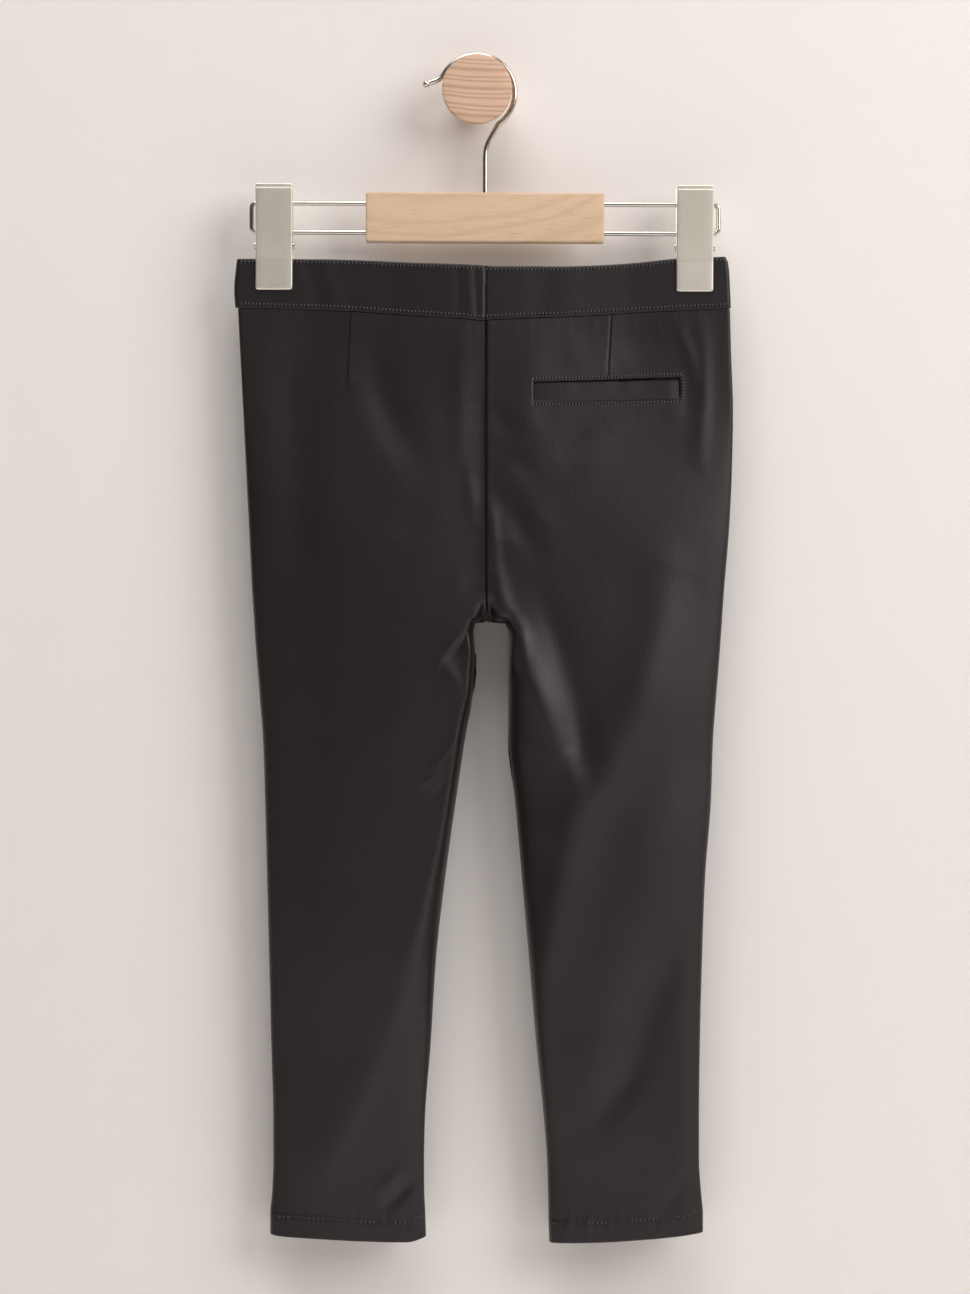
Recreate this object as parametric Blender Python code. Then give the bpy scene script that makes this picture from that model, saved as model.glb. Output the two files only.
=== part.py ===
# Skinny trousers hung by the waistband from a two-clip hanger on a round wall knob.
# +Z is up, the wall is the plane y = 0, and the back of the trousers faces -Y.
# The origin is the centre of the knob's flat back face.
# Sizes and tables are in millimetres, and become metres when a mesh is made.

import math

import bmesh
import bpy
import numpy as np

MILLIMETRE = 0.001              # metres in one millimetre
GAP = 0.3                       # clear space between two pieces that meet

# Cloth
CLOTH = 1.2                     # wall of the leg and seat panels
BAND_CLOTH = 1.9                # wall of the waistband, which is two layers and an interlining
TRIM_CLOTH = 1.0                # wall of the welt and the fly placket
EDGE_RADIUS = 1.7               # half thickness of the panels where they turn round a side edge
BAND_RADIUS = 2.15              # half thickness of the waistband where it turns round a side
HEM_STEP = 0.45                 # how far the turned-up hem stands out
HEM_DEPTH = 13.0                # height of the turned-up hem
HEM_RISE = 1.5                  # height over which its edge comes out
CENTRE_X = 4.7                  # centre-back and centre-front seams
WAIST_ENDS = {"left": -140.0, "right": 147.0}   # the waistband's outer ends, before they follow its side
HANG_Y = -26.0                  # middle plane of the waistband, the rails and the hook

# Shape of the hollow
PINCH = 0.26                    # share of each half width that the clips hold flat
ROUNDING_DROP = 135.0           # height over which the flat waist becomes the round seat
FULLNESS = 0.56                 # 0.5 is an ellipse, and more is a flatter flank
FRONT_CREST = 0.6               # where the front of a leg is fullest, as in the table of crests
CROTCH_Z = -307.7
CROTCH_RISE = 14.0              # height over which the seat closes between the legs
CROTCH_EASE = 30.0              # height above the crotch where the form starts to follow the inseam
CROTCH_SETTLE = 10.0            # how much further below it the form reaches the inseam
CROTCH_ROUND = 4.2              # rounding of the cloth into the crotch's top edge
CROTCH_REACH = 26.0             # height over which that rounding fades
HEM_ROUND = 0.5                 # rounding at the inseam away from the crotch
VALLEY_DEPTH = 3.0              # broad valley along the centre-back seam, and its reach on each side
VALLEY_REACH = {"left": 30.0, "right": 17.0}
VALLEY_START = 60.0             # height over which it deepens under the waist
VALLEY_END = 70.0               # height over which it runs out, and how far below the crotch it ends
VALLEY_DROP = 30.0
FOLD_RIM = 11.0                 # distance from an edge over which the folds come to their height
FRONT_DIP = 10.5                # how much lower the front waist hangs at its middle
NOTCH_REACH = 20.0              # the back's waist dips to the centre seam within this, the front's does not
WAIST_DEPTH = 5.0               # half opening of the waist at its middle, inside the edge radius

PANEL_COLUMNS = {"back": 19, "front": 19}
COLUMN_RISE = 75.0              # height over which the columns gather at the inseam
TOP_BLEND = 90.0                # height over which the rows settle from the curved waist seam
SIDE_DRAW = 80.0                # length over which the front waistband is drawn to its side edge
INSEAM_POWER = 12               # the higher, the fewer columns bend on to the inseam itself
BAND_ROWS = 4

# Hanger and knob
RAIL_RADIUS = 1.45
RAIL_TOP_Z = -65.8
RAIL_LOW_Z = -82.65
RAIL_CORNER = 3.0               # bend of the rails' closed ends
RAIL_END_LEFT = -130.7          # wire centre of the closed ends
RAIL_END_RIGHT = 140.1
RAIL_SEAT = 14.0                # length of rail inside the bar
BAR_LEFT = -64.4
BAR_RIGHT = 73.7
BAR_TOP = -59.7
BAR_LOW = -88.4
BAR_THICK = 12.0
BAR_BEVEL = 1.2
HANGER_TILT = math.radians(0.25)
HOOK_RADIUS = 1.65
HOOK_X = 4.7                    # the hook's upright shank
HOOK_SEAT = 11.0                # length of the shank inside the bar
HOOK_ARC_X = -0.1               # centre and radius of the hook's round bend
HOOK_ARC_Z = -1.4
HOOK_ARC_RADIUS = 22.1
HOOK_LEAN = [(5.2, -33.2), (6.9, -28.9), (9.6, -24.5)]
HOOK_TIP = [(-20.3, 7.9), (-22.4, 6.3), (-25.0, 5.2), (-27.4, 4.5)]
CLIP_WIDTH = 21.4
CLIP_LEFT_X = -117.4
CLIP_RIGHT_X = 126.4
CLIP_PLATE = 1.0                # sheet thickness of the clip plates
CLIP_CORNER = 0.8
PIN_Z = -90.5
PIN_RADIUS = 1.6
SPRING_RADIUS = 3.0
KNOB_RADIUS = 20.3
KNOB_DEPTH = 35.0
KNOB_FOOT_RADIUS = 14.6
KNOB_LAND_RADIUS = 18.65        # where the hook lies
KNOB_LAND_FROM = 22.5           # from the wall to the land's two ends
KNOB_LAND_TO = 27.9
KNOB_RIM = 1.4                  # rounding of the head's rim
KNOB_EASE = 0.7                 # rounding of the foot
BALL_RADIUS = 2.2               # ball at the hook's tip
PIN_HEAD = 0.7                  # how far the pin's heads stand out past it, and their thickness
SPRING_LENGTH = 13.0

# One row for each section of the trousers, from the waist seam to the hem: the height, the outer edge of
# the left side, the inner edge of each leg (the centre seam above the crotch), the outer edge of the right
# side, the half depth of the hollow, and the middle of its depth for each leg.
SECTION_COLUMNS = (
    "z", "side_left", "inner_left", "inner_right", "side_right", "depth", "mid_left", "mid_right",
)
SECTIONS = (
    (-120.0, -139.0, 4.7, 4.7, 146.6, 4.4, -26.0, -26.0),
    (-150.0, -137.5, 4.7, 4.7, 147.3, 6.6, -26.0, -26.0),
    (-185.0, -135.7, 4.7, 4.7, 148.5, 9.1, -26.0, -26.0),
    (-220.0, -134.0, 4.7, 4.7, 147.9, 11.4, -26.0, -26.0),
    (-255.0, -132.2, 4.7, 4.7, 146.2, 13.4, -26.0, -26.0),
    (-290.0, -130.5, 4.9, 4.9, 143.3, 15.2, -26.0, -26.0),
    (-307.7, -129.3, 5.2, 5.2, 142.1, 16.15, -26.0, -26.0),
    (-310.0, -129.2, -0.6, 15.7, 142.0, 16.27, -26.0, -26.0),
    (-313.5, -129.0, -2.0, 18.0, 141.7, 16.45, -26.0, -26.0),
    (-334.0, -127.4, -0.7, 18.0, 140.2, 17.3, -25.9, -26.1),
    (-353.5, -125.9, -2.9, 18.0, 138.6, 17.8, -25.8, -26.2),
    (-376.7, -124.1, -7.0, 18.0, 136.9, 17.9, -25.6, -26.3),
    (-411.5, -123.0, -12.2, 22.0, 135.7, 17.3, -25.4, -26.5),
    (-458.0, -121.8, -18.6, 26.1, 132.2, 15.8, -25.0, -26.6),
    (-504.0, -120.6, -23.8, 30.2, 130.5, 14.0, -24.6, -26.6),
    (-551.0, -119.5, -26.7, 34.2, 129.3, 11.0, -24.2, -26.4),
    (-597.0, -118.3, -30.2, 38.9, 128.8, 8.5, -23.8, -26.2),
    (-620.0, -118.3, -30.7, 40.6, 128.8, 7.3, -23.6, -26.0),
    (-638.0, -118.9, -30.6, 41.1, 129.9, 6.5, -23.5, -25.9),
    (-652.0, -120.1, -30.0, 41.4, 131.1, 6.2, -23.4, -25.8),
    (-670.0, -120.1, -29.4, 41.9, 131.1, 6.0, -23.4, -25.8),
)

# Where the back of each leg is fullest, as a share of its width from the side seam to the inseam.
CREST_COLUMNS = ("z", "left", "right")
CRESTS = (
    (-232.0, 0.9, 0.93),
    (-290.0, 0.97, 0.95),
    (-312.0, 0.97, 0.955),
    (-330.0, 0.97, 0.95),
    (-345.0, 0.97, 0.91),
    (-365.0, 0.95, 0.85),
    (-400.0, 0.95, 0.77),
    (-437.0, 0.93, 0.75),
    (-463.0, 0.90, 0.80),
    (-489.0, 0.85, 0.85),
    (-511.0, 0.80, 0.89),
    (-545.0, 0.74, 0.92),
    (-577.0, 0.60, 0.93),
    (-606.0, 0.45, 0.90),
    (-630.0, 0.33, 0.86),
    (-670.0, 0.28, 0.84),
)

# The waistband along its length: where it is, its top edge and its bottom seam on the back.
WAIST_COLUMNS = ("x", "top", "seam")
WAIST_LINES = (
    (-141.0, -97.6, -126.2),
    (-85.0, -98.1, -127.6),
    (-33.0, -100.4, -130.3),
    (-8.0, -101.3, -132.0),
    (3.5, -101.9, -133.0),
    (10.0, -102.4, -132.2),
    (48.0, -102.4, -131.2),
    (71.0, -101.6, -130.1),
    (94.5, -99.9, -128.3),
    (115.4, -97.7, -127.6),
    (147.0, -96.4, -126.2),
)

# The hem's lower edge along each leg.
HEM_COLUMNS = ("x", "z")
HEMS = {
    "left": (
        (-120.1, -663.2),
        (-115.0, -665.2),
        (-91.0, -666.5),
        (-67.0, -667.4),
        (-40.0, -667.8),
        (-29.4, -665.0),
    ),
    "right": (
        (41.9, -667.8),
        (71.0, -667.3),
        (94.5, -666.0),
        (115.4, -664.3),
        (131.1, -662.1),
    ),
}

# The waistband's outer edges down its height.
BAND_SIDE_COLUMNS = ("z", "left", "right")
BAND_SIDES = (
    (-96.0, -138.9, 143.6),
    (-99.0, -139.4, 145.4),
    (-104.0, -140.0, 146.2),
    (-115.0, -140.9, 146.8),
    (-127.0, -140.2, 147.3),
)

# One row for each of the largest folds: its two ends, how far its line bows to its right, how wide and how
# high it is, and its lean, which above 0 makes the left flank wide and the right one steep. A height under
# 0 is a trough. The first set lies on the back of the garment and the second on the front.
FOLD_COLUMNS = ("x0", "z0", "x1", "z1", "bend", "width", "height", "lean")
FOLDS = {
    "back": (
        (8.5, -240.0, 12.0, -282.0, 0.0, 6.0, 1.0, -0.1),
        (11.8, -280.0, 18.0, -309.0, -1.0, 6.0, 1.8, -0.2),
        (17.0, -306.0, 25.0, -326.0, 0.5, 7.0, 2.4, -0.3),
        (24.0, -324.0, 45.0, -384.0, 1.0, 9.0, 3.6, -0.35),
        (44.0, -382.0, 56.0, -412.0, 0.0, 10.0, 1.9, -0.2),
        (57.0, -350.0, 63.0, -398.0, 1.0, 9.0, -1.6, 0.0),
        (110.0, -280.0, 51.0, -430.0, 12.0, 16.0, 3.9, 0.0),
        (60.0, -404.0, 43.0, -500.0, -1.0, 11.0, 2.8, -0.2),
        (104.0, -420.0, 92.0, -500.0, 0.0, 16.0, 1.0, 0.0),
        (113.0, -494.0, 90.0, -572.0, -2.0, 14.0, -2.6, 0.2),
        (92.0, -564.0, 66.0, -602.0, 0.0, 11.0, -1.7, 0.2),
        (126.0, -530.0, 118.0, -640.0, 0.0, 11.0, 1.5, 0.0),
        (74.0, -520.0, 62.0, -610.0, 0.0, 14.0, 1.0, 0.0),
        (131.0, -136.0, 129.5, -214.0, 1.0, 7.0, 1.2, -0.2),
        (-73.7, -146.0, -64.0, -196.0, -1.0, 12.0, 0.8, 0.3),
        (-67.0, -176.0, -47.0, -230.0, -1.0, 13.0, 0.6, 0.3),
        (-60.0, -150.0, -50.0, -196.0, -1.0, 10.0, -1.1, 0.0),
        (-54.0, -178.0, -34.0, -218.0, -1.0, 11.0, -1.0, 0.0),
        (-106.0, -148.0, -100.0, -270.0, 0.0, 12.0, -1.6, 0.0),
        (2.6, -296.5, -20.5, -329.0, 1.0, 5.5, 0.9, 0.4),
        (5.0, -298.5, -17.6, -330.5, 1.0, 6.0, -2.0, -0.5),
        (-19.5, -331.0, -9.0, -350.0, 1.0, 5.5, 1.2, 0.1),
        (-92.0, -300.0, -96.0, -420.0, 0.0, 15.0, -1.3, 0.0),
        (-60.0, -400.0, -70.0, -480.0, 0.0, 16.0, -0.7, 0.0),
        (-24.0, -452.0, -50.0, -540.0, 2.0, 10.0, 1.2, 0.3),
        (-50.0, -536.0, -90.0, -630.0, 2.0, 11.0, 1.3, 0.3),
        (-104.0, -470.0, -98.0, -590.0, 0.0, 15.0, -0.8, 0.0),
        (-38.3, -632.0, -52.0, -646.0, 0.8, 5.5, -1.2, 0.0),
    ),
    "front": (
        (-8.0, -286.0, -40.0, -356.0, -3.0, 9.0, 2.3, 0.3),
        (17.0, -286.0, 54.0, -354.0, 3.0, 9.0, 2.1, -0.3),
        (-30.0, -296.0, -92.0, -276.0, -3.0, 9.0, -1.5, 0.0),
        (40.0, -298.0, 104.0, -280.0, 3.0, 10.0, -1.6, 0.0),
        (-60.0, -400.0, -78.0, -540.0, 0.0, 16.0, 1.5, 0.0),
        (76.0, -390.0, 90.0, -530.0, 0.0, 16.0, 1.6, 0.0),
        (-38.0, -520.0, -92.0, -600.0, 2.0, 13.0, -1.3, 0.0),
        (48.0, -510.0, 110.0, -604.0, -2.0, 13.0, -1.3, 0.0),
    ),
}

# Gathers in the back waistband beside the centre seam: where each runs at the top and at the seam.
GATHER_COLUMNS = ("x_top", "x_seam", "width", "height")
GATHERS = (
    (-12.6, -10.4, 2.6, 0.25),
    (-8.8, -6.4, 2.2, -0.4),
    (-5.0, -2.2, 2.2, 0.5),
)

POCKET = {"x0": 33.6, "x1": 118.3, "z0": -174.6, "z1": -172.3, "height": 12.2}
FLY = {"width": 31.0, "drop": 118.0, "curve": 27.0}
LAP = {"step_from": -9.0, "step_to": 1.0, "under_end": 3.5, "over_end": 26.0}
BUTTON = {"x": 15.0, "drop": 14.5, "radius": 8.0, "thick": 2.6, "rim": 1.9, "well": 0.8, "eased": 0.7}


def clear_scene():
    for thing in list(bpy.data.objects):
        bpy.data.objects.remove(thing, do_unlink=True)


def material(name, colour, roughness, metallic=0.0):
    made = bpy.data.materials.new(name)
    made.use_nodes = True
    shader = made.node_tree.nodes["Principled BSDF"]
    shader.inputs["Base Color"].default_value = (*colour, 1.0)
    shader.inputs["Roughness"].default_value = roughness
    shader.inputs["Metallic"].default_value = metallic
    return made


def cloth_material(name):
    return material(name, (0.024, 0.022, 0.022), 0.82)


def wood_material(name, colour):
    return material(name, colour, 0.6)


def metal_material(name, roughness):
    return material(name, (0.62, 0.58, 0.51), roughness, 0.95)


def button_material(name):
    return material(name, (0.03, 0.028, 0.028), 0.35)


def smooth_steps(share):
    """Zero slope at both ends: 3 s^2 - 2 s^3 for a share kept between 0 and 1."""
    kept = np.clip(share, 0.0, 1.0)
    return kept * kept * (3.0 - 2.0 * kept)


def curve_through(xs, ys, at):
    """A smooth curve through the points that never passes above or below them."""
    order = np.argsort(xs)
    xs = np.asarray(xs, dtype=float)[order]
    ys = np.asarray(ys, dtype=float)[order]
    step = np.diff(xs)
    rise = np.diff(ys) / step
    slope = np.zeros_like(ys)
    slope[0] = rise[0]
    slope[-1] = rise[-1]
    turning = rise[:-1] * rise[1:] > 0.0
    safe_sum = np.where(turning, rise[:-1] + rise[1:], 1.0)
    slope[1:-1] = np.where(turning, 2.0 * rise[:-1] * rise[1:] / safe_sum, 0.0)
    at = np.clip(np.asarray(at, dtype=float), xs[0], xs[-1])
    cell = np.clip(np.searchsorted(xs, at, side="right") - 1, 0, len(step) - 1)
    s = (at - xs[cell]) / step[cell]
    left = ys[cell] * (1.0 + 2.0 * s) * (1.0 - s) ** 2 + slope[cell] * step[cell] * s * (1.0 - s) ** 2
    right = ys[cell + 1] * s * s * (3.0 - 2.0 * s) - slope[cell + 1] * step[cell] * s * s * (1.0 - s)
    return left + right


def read_table(rows, names, key, value, at):
    keys = [row[names.index(key)] for row in rows]
    values = [row[names.index(value)] for row in rows]
    return curve_through(keys, values, at)


def section(name, z):
    return read_table(SECTIONS, SECTION_COLUMNS, "z", name, z)


def waist_line(name, face, x):
    """Height of the waistband's top or seam: the front hangs lower towards its middle."""
    rows = WAIST_LINES
    if face == "front":
        rows = [row for row in WAIST_LINES if abs(row[0] - CENTRE_X) > NOTCH_REACH]
    height = read_table(rows, WAIST_COLUMNS, "x", name, x)
    if face == "front":
        side = np.where(np.asarray(x) < CENTRE_X, WAIST_ENDS["left"], WAIST_ENDS["right"])
        height = height - FRONT_DIP * pinched(np.abs(x - side) / np.abs(CENTRE_X - side))
    return height


def pinched(share):
    """Flat where the clips hold the cloth, then opening towards the middle."""
    opened = np.clip((share - PINCH) / (1.0 - PINCH), 0.0, 1.0)
    return np.sin(opened * math.pi / 2.0) ** 2


def form_edge(side, z):
    """The inner edge that the form follows: the centre seam, easing into the inseam round the crotch."""
    followed = CROTCH_Z - CROTCH_EASE - CROTCH_SETTLE
    eased = smooth_steps((CROTCH_Z + CROTCH_EASE - z) / (2.0 * CROTCH_EASE + CROTCH_SETTLE))
    below = section("inner_" + side, np.minimum(z, followed))
    return CENTRE_X + (below - CENTRE_X) * eased


def ring_shape(side, face, share, z):
    """Share of the full depth round a section: (1 - (1 - t)^2) to a power, with t rising from the side to
    the fullest line and falling again to the inseam. Above the crotch that fall fades out."""
    crest = FRONT_CREST if face == "front" else read_table(CRESTS, CREST_COLUMNS, "z", side, z)
    rising = share < crest
    to_crest = np.where(rising, share / crest, (1.0 - share) / (1.0 - crest))
    risen = np.clip((z - CROTCH_Z) / CROTCH_RISE, 0.0, 1.0)
    shut = np.where(rising, 1.0, (1.0 - risen) ** 2)
    return 1.0 - (1.0 - (1.0 - (1.0 - to_crest) ** 2) ** FULLNESS) * shut


def column_turn(z):
    """How the columns spread: as on a quarter circle above the crotch and on a half circle in the legs."""
    risen = np.clip((np.asarray(z) - CROTCH_Z) / COLUMN_RISE, 0.0, 1.0)
    return math.pi - math.pi / 2.0 * risen * (2.0 - risen)


def distance_to_inseam(side, x, z):
    """Distance in the plane of the garment to the inner edge of a leg, from the crotch down."""
    rows = [row for row in SECTIONS if row[0] <= CROTCH_Z]
    edge = [(row[SECTION_COLUMNS.index("inner_" + side)], row[0]) for row in rows]
    nearest = np.full(np.shape(x), 1.0e6)
    for (x0, z0), (x1, z1) in zip(edge[:-1], edge[1:]):
        length = math.hypot(x1 - x0, z1 - z0)
        along = ((x - x0) * (x1 - x0) + (z - z0) * (z1 - z0)) / length ** 2
        along = np.clip(along, 0.0, 1.0)
        gap = np.hypot(x - x0 - along * (x1 - x0), z - z0 - along * (z1 - z0))
        nearest = np.minimum(nearest, gap)
    return nearest


def turned_edge(distance, radius):
    """Quarter round: the cloth rises to the radius over the same distance from the edge."""
    share = np.clip(distance / radius, 0.0, 1.0)
    return radius * np.sqrt(1.0 - (1.0 - share) ** 2)


def fold_height(face, x, z):
    """Sum of the folds: each is a bell across a bowed line that fades towards its ends."""
    total = np.zeros(np.shape(x))
    for row in FOLDS[face]:
        fold = dict(zip(FOLD_COLUMNS, row))
        run_x = fold["x1"] - fold["x0"]
        run_z = fold["z1"] - fold["z0"]
        length = math.hypot(run_x, run_z)
        along = ((x - fold["x0"]) * run_x + (z - fold["z0"]) * run_z) / length ** 2
        kept = np.clip(along, 0.0, 1.0)
        past = (along - kept) * length
        across = ((z - fold["z0"]) * run_x - (x - fold["x0"]) * run_z) / length
        across = across - 4.0 * fold["bend"] * kept * (1.0 - kept)
        flank = fold["width"] * np.where(across < 0.0, 1.0 + fold["lean"], 1.0 - fold["lean"])
        fade = 0.4 + 0.6 * np.sin(kept * math.pi)
        total = total + fold["height"] * fade * np.exp(-(across / flank) ** 2 - (past / fold["width"]) ** 2)
    return total


def centre_valley(side, face, x, z):
    """Depth of the broad valley along the centre seam, from under the waist to just below the crotch."""
    down = smooth_steps((waist_line("seam", face, x) - z) / VALLEY_START)
    above = smooth_steps((z - CROTCH_Z + VALLEY_DROP) / VALLEY_END)
    seam_x = section("inner_left", np.maximum(z, CROTCH_Z))
    return VALLEY_DEPTH * down * above * np.exp(-((x - seam_x) / VALLEY_REACH[side]) ** 2)


def half_depth(side, face, x, z):
    """Distance of a panel's outer surface from the garment's middle plane."""
    outer = section("side_" + side, z)
    share = np.clip((x - outer) / (form_edge(side, z) - outer), 0.0, 1.0)
    roundness = smooth_steps((waist_line("seam", face, x) - z) / ROUNDING_DROP)
    ring = ring_shape(side, face, share, z)
    hollow = section("depth", z) * ((1.0 - roundness) * pinched(share) + roundness * ring)
    inseam = distance_to_inseam(side, x, z)
    rounding = HEM_ROUND + CROTCH_ROUND * np.exp(-((z - CROTCH_Z) / CROTCH_REACH) ** 2)
    hollow = hollow * turned_edge(inseam, rounding) / rounding
    rim = np.minimum(np.abs(x - outer), inseam)
    hem = HEM_STEP * smooth_steps((hem_line(side, x) + HEM_DEPTH - z) / HEM_RISE + 0.5)
    relief = fold_height(face, x, z) - centre_valley(side, face, x, z)
    relief = relief * smooth_steps(rim / FOLD_RIM)
    return turned_edge(rim, EDGE_RADIUS) + hollow + hem * smooth_steps(rim / EDGE_RADIUS) + relief


def hem_line(side, x):
    return read_table(HEMS[side], HEM_COLUMNS, "x", "z", x)


def middle_y(side, z):
    return section("mid_" + side, z)


def away_from_middle(face):
    return -1.0 if face == "back" else 1.0


def panel_rows():
    """Heights of a panel's rows, closer together round the crotch and at the hem."""
    seat = np.linspace(-130.0, CROTCH_Z + 30.0, 10)
    crotch = CROTCH_Z + np.array([19.0, 9.0, 4.5, 2.0, 0.0, -2.3, -5.8, -12.0])
    leg = np.linspace(CROTCH_Z - 24.0, -640.0, 16)
    hem = np.array([-653.4, -655.4, -667.0])
    return np.concatenate([seat, crotch, leg, hem])


def panel_surface(side, face):
    """Grid of points on a panel's outer surface, from the side seam to the inner seam."""
    rows = panel_rows()
    columns = PANEL_COLUMNS[face]
    z = np.repeat(rows[:, None], columns, axis=1)
    turn = column_turn(z)
    angle = turn * np.linspace(0.0, 1.0, columns)[None, :]
    share = (1.0 - np.cos(angle)) / (1.0 - np.cos(turn))
    outer = section("side_" + side, z)
    eased = form_edge(side, z)
    x = outer + (eased - outer) * share + (section("inner_" + side, z) - eased) * share ** INSEAM_POWER
    top_shift = waist_line("seam", face, x) - GAP / 2.0 - rows[0]
    low_shift = hem_line(side, x) - rows[-1]
    hem_top = rows[-4]
    top_share = smooth_steps((z - (rows[0] - TOP_BLEND)) / TOP_BLEND)
    low_share = np.clip((hem_top - z) / (hem_top - rows[-2]), 0.0, 1.0)
    z = z + top_shift * top_share + low_shift * low_share
    depth = half_depth(side, face, x, z)
    return x, depth, z, rows


def grid_normals(points):
    """Unit normals from the differences along the rows and along the columns."""
    along_rows = np.gradient(points, axis=1)
    along_columns = np.gradient(points, axis=0)
    normal = np.cross(along_rows, along_columns)
    return normal / np.linalg.norm(normal, axis=2, keepdims=True)


def unit(vectors):
    return vectors / np.linalg.norm(vectors, axis=-1, keepdims=True)


def facing(normal, direction, axis):
    """Turns all normals so that their part along the axis has the given sign on the whole."""
    return normal * (direction * np.sign(np.sum(normal[:, :, axis])))


def closed_shell(name, outer, inner, finish):
    """A wall between two grids of points, closed round its four edges."""
    rows, columns = outer.shape[:2]
    points = np.concatenate([outer.reshape(-1, 3), inner.reshape(-1, 3)]) * MILLIMETRE
    count = rows * columns
    faces = []
    for row in range(rows - 1):
        for column in range(columns - 1):
            a = row * columns + column
            quad = (a, a + 1, a + columns + 1, a + columns)
            faces.append(quad)
            faces.append(tuple(count + corner for corner in reversed(quad)))
    rim = [column for column in range(columns)]
    rim += [row * columns + columns - 1 for row in range(1, rows)]
    rim += [(rows - 1) * columns + column for column in range(columns - 2, -1, -1)]
    rim += [row * columns for row in range(rows - 2, 0, -1)]
    for here, there in zip(rim, rim[1:] + rim[:1]):
        faces.append((there, here, count + here, count + there))
    return mesh_object(name, points.tolist(), faces, finish, smooth_below=40.0)


def mesh_object(name, points, faces, finish, smooth_below=30.0):
    mesh = bpy.data.meshes.new(name)
    mesh.from_pydata(points, [], faces)
    shape = bmesh.new()
    shape.from_mesh(mesh)
    bmesh.ops.recalc_face_normals(shape, faces=shape.faces)
    bmesh.ops.triangulate(shape, faces=shape.faces)
    shape.to_mesh(mesh)
    shape.free()
    mesh.shade_smooth()
    mesh.set_sharp_from_angle(angle=math.radians(smooth_below))
    mesh.materials.append(finish)
    made = bpy.data.objects.new(name, mesh)
    bpy.context.scene.collection.objects.link(made)
    return made


def build_panel(side, face):
    """Half of the front or back: one wall from the waist seam to the hem."""
    x, depth, z, rows = panel_surface(side, face)
    sign = away_from_middle(face)
    y = middle_y(side, z) + sign * np.maximum(depth, GAP / 2.0)
    outer = np.stack([x, y, z], axis=2)
    normal = facing(grid_normals(outer), sign, 1)
    inseam = rows <= CROTCH_Z
    centre = ~inseam
    outward = -1.0 if side == "left" else 1.0
    normal[:, 0] = (outward, 0.0, 0.0)
    normal[inseam, -1, 1] = 0.0
    normal[centre, -1, 0] = 0.0
    corner = int(np.flatnonzero(inseam)[0])
    normal[corner, -1] = (0.0, 0.0, -1.0)
    normal[0, :, 2] = 0.0
    normal[-1, :, 2] = 0.0
    normal = unit(normal)
    inner = outer - CLOTH * normal
    at_seam = np.append(np.flatnonzero(centre), corner)
    outer[at_seam, -1, 0] += outward * GAP / 2.0
    inner[at_seam, -1, 0] = outer[at_seam, -1, 0]
    name = face + "_" + side
    return closed_shell(name, outer, inner, cloth_material(name + "_cloth"))


def band_columns(side):
    """Places along the waistband: close at the turned side, and closer still through the gathers."""
    edge = WAIST_ENDS[side]
    inward = 1.0 if side == "left" else -1.0
    turned = edge + inward * np.array([0.0, 0.6, 2.4, 6.0])
    end = CENTRE_X - inward * 22.0
    spread = np.linspace(edge + inward * 12.0, end, 10)
    if side == "left":
        middle = np.linspace(end + 2.2, CENTRE_X, 11)
    else:
        middle = np.array([CENTRE_X + 11.0, CENTRE_X])
    return np.concatenate([turned, spread, middle])


def gather_height(x, share_down):
    total = np.zeros(np.shape(x))
    for row in GATHERS:
        gather = dict(zip(GATHER_COLUMNS, row))
        line = gather["x_top"] + (gather["x_seam"] - gather["x_top"]) * share_down
        total = total + gather["height"] * np.exp(-((x - line) / gather["width"]) ** 2)
    return total


def band_surface(side, face, columns):
    """Grid of points on the waistband's outer surface, from its top edge to its seam."""
    share_down = np.linspace(0.0, 1.0, BAND_ROWS)[:, None]
    x = np.repeat(columns[None, :], BAND_ROWS, axis=0)
    top = waist_line("top", face, x)
    seam = waist_line("seam", face, x) + GAP / 2.0
    z = top + (seam - top) * share_down
    edge = read_table(BAND_SIDES, BAND_SIDE_COLUMNS, "z", side, z)
    x = CENTRE_X + (x - CENTRE_X) * (edge - CENTRE_X) / (columns[0] - CENTRE_X)
    share = np.clip((x - edge) / (CENTRE_X - edge), 0.0, 1.0)
    depth = turned_edge(np.abs(x - edge), BAND_RADIUS) + WAIST_DEPTH * pinched(share)
    if side == "left" and face == "back":
        depth = depth + gather_height(x, share_down)
    return x, depth, z


def band_shell(name, x, depth, z, face, side, end_x):
    sign = away_from_middle(face)
    y = HANG_Y + sign * np.maximum(depth, GAP / 2.0)
    outer = np.stack([x, y, z], axis=2)
    normal = facing(grid_normals(outer), sign, 1)
    outward = -1.0 if side == "left" else 1.0
    normal[:, 0] = (outward, 0.0, 0.0)
    normal[:, -1, 0] = 0.0
    normal[0, :, 2] = 0.0
    normal[-1, :, 2] = 0.0
    normal = unit(normal)
    inner = outer - BAND_CLOTH * normal
    outer[:, -1, 0] = end_x
    inner[:, -1, 0] = end_x
    return closed_shell(name, outer, inner, cloth_material(name + "_cloth"))


def build_back_band(side):
    x, depth, z = band_surface(side, "back", band_columns(side))
    inward = 1.0 if side == "left" else -1.0
    name = "waistband_back_" + side
    return band_shell(name, x, depth, z, "back", side, CENTRE_X - inward * GAP / 2.0)


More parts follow.
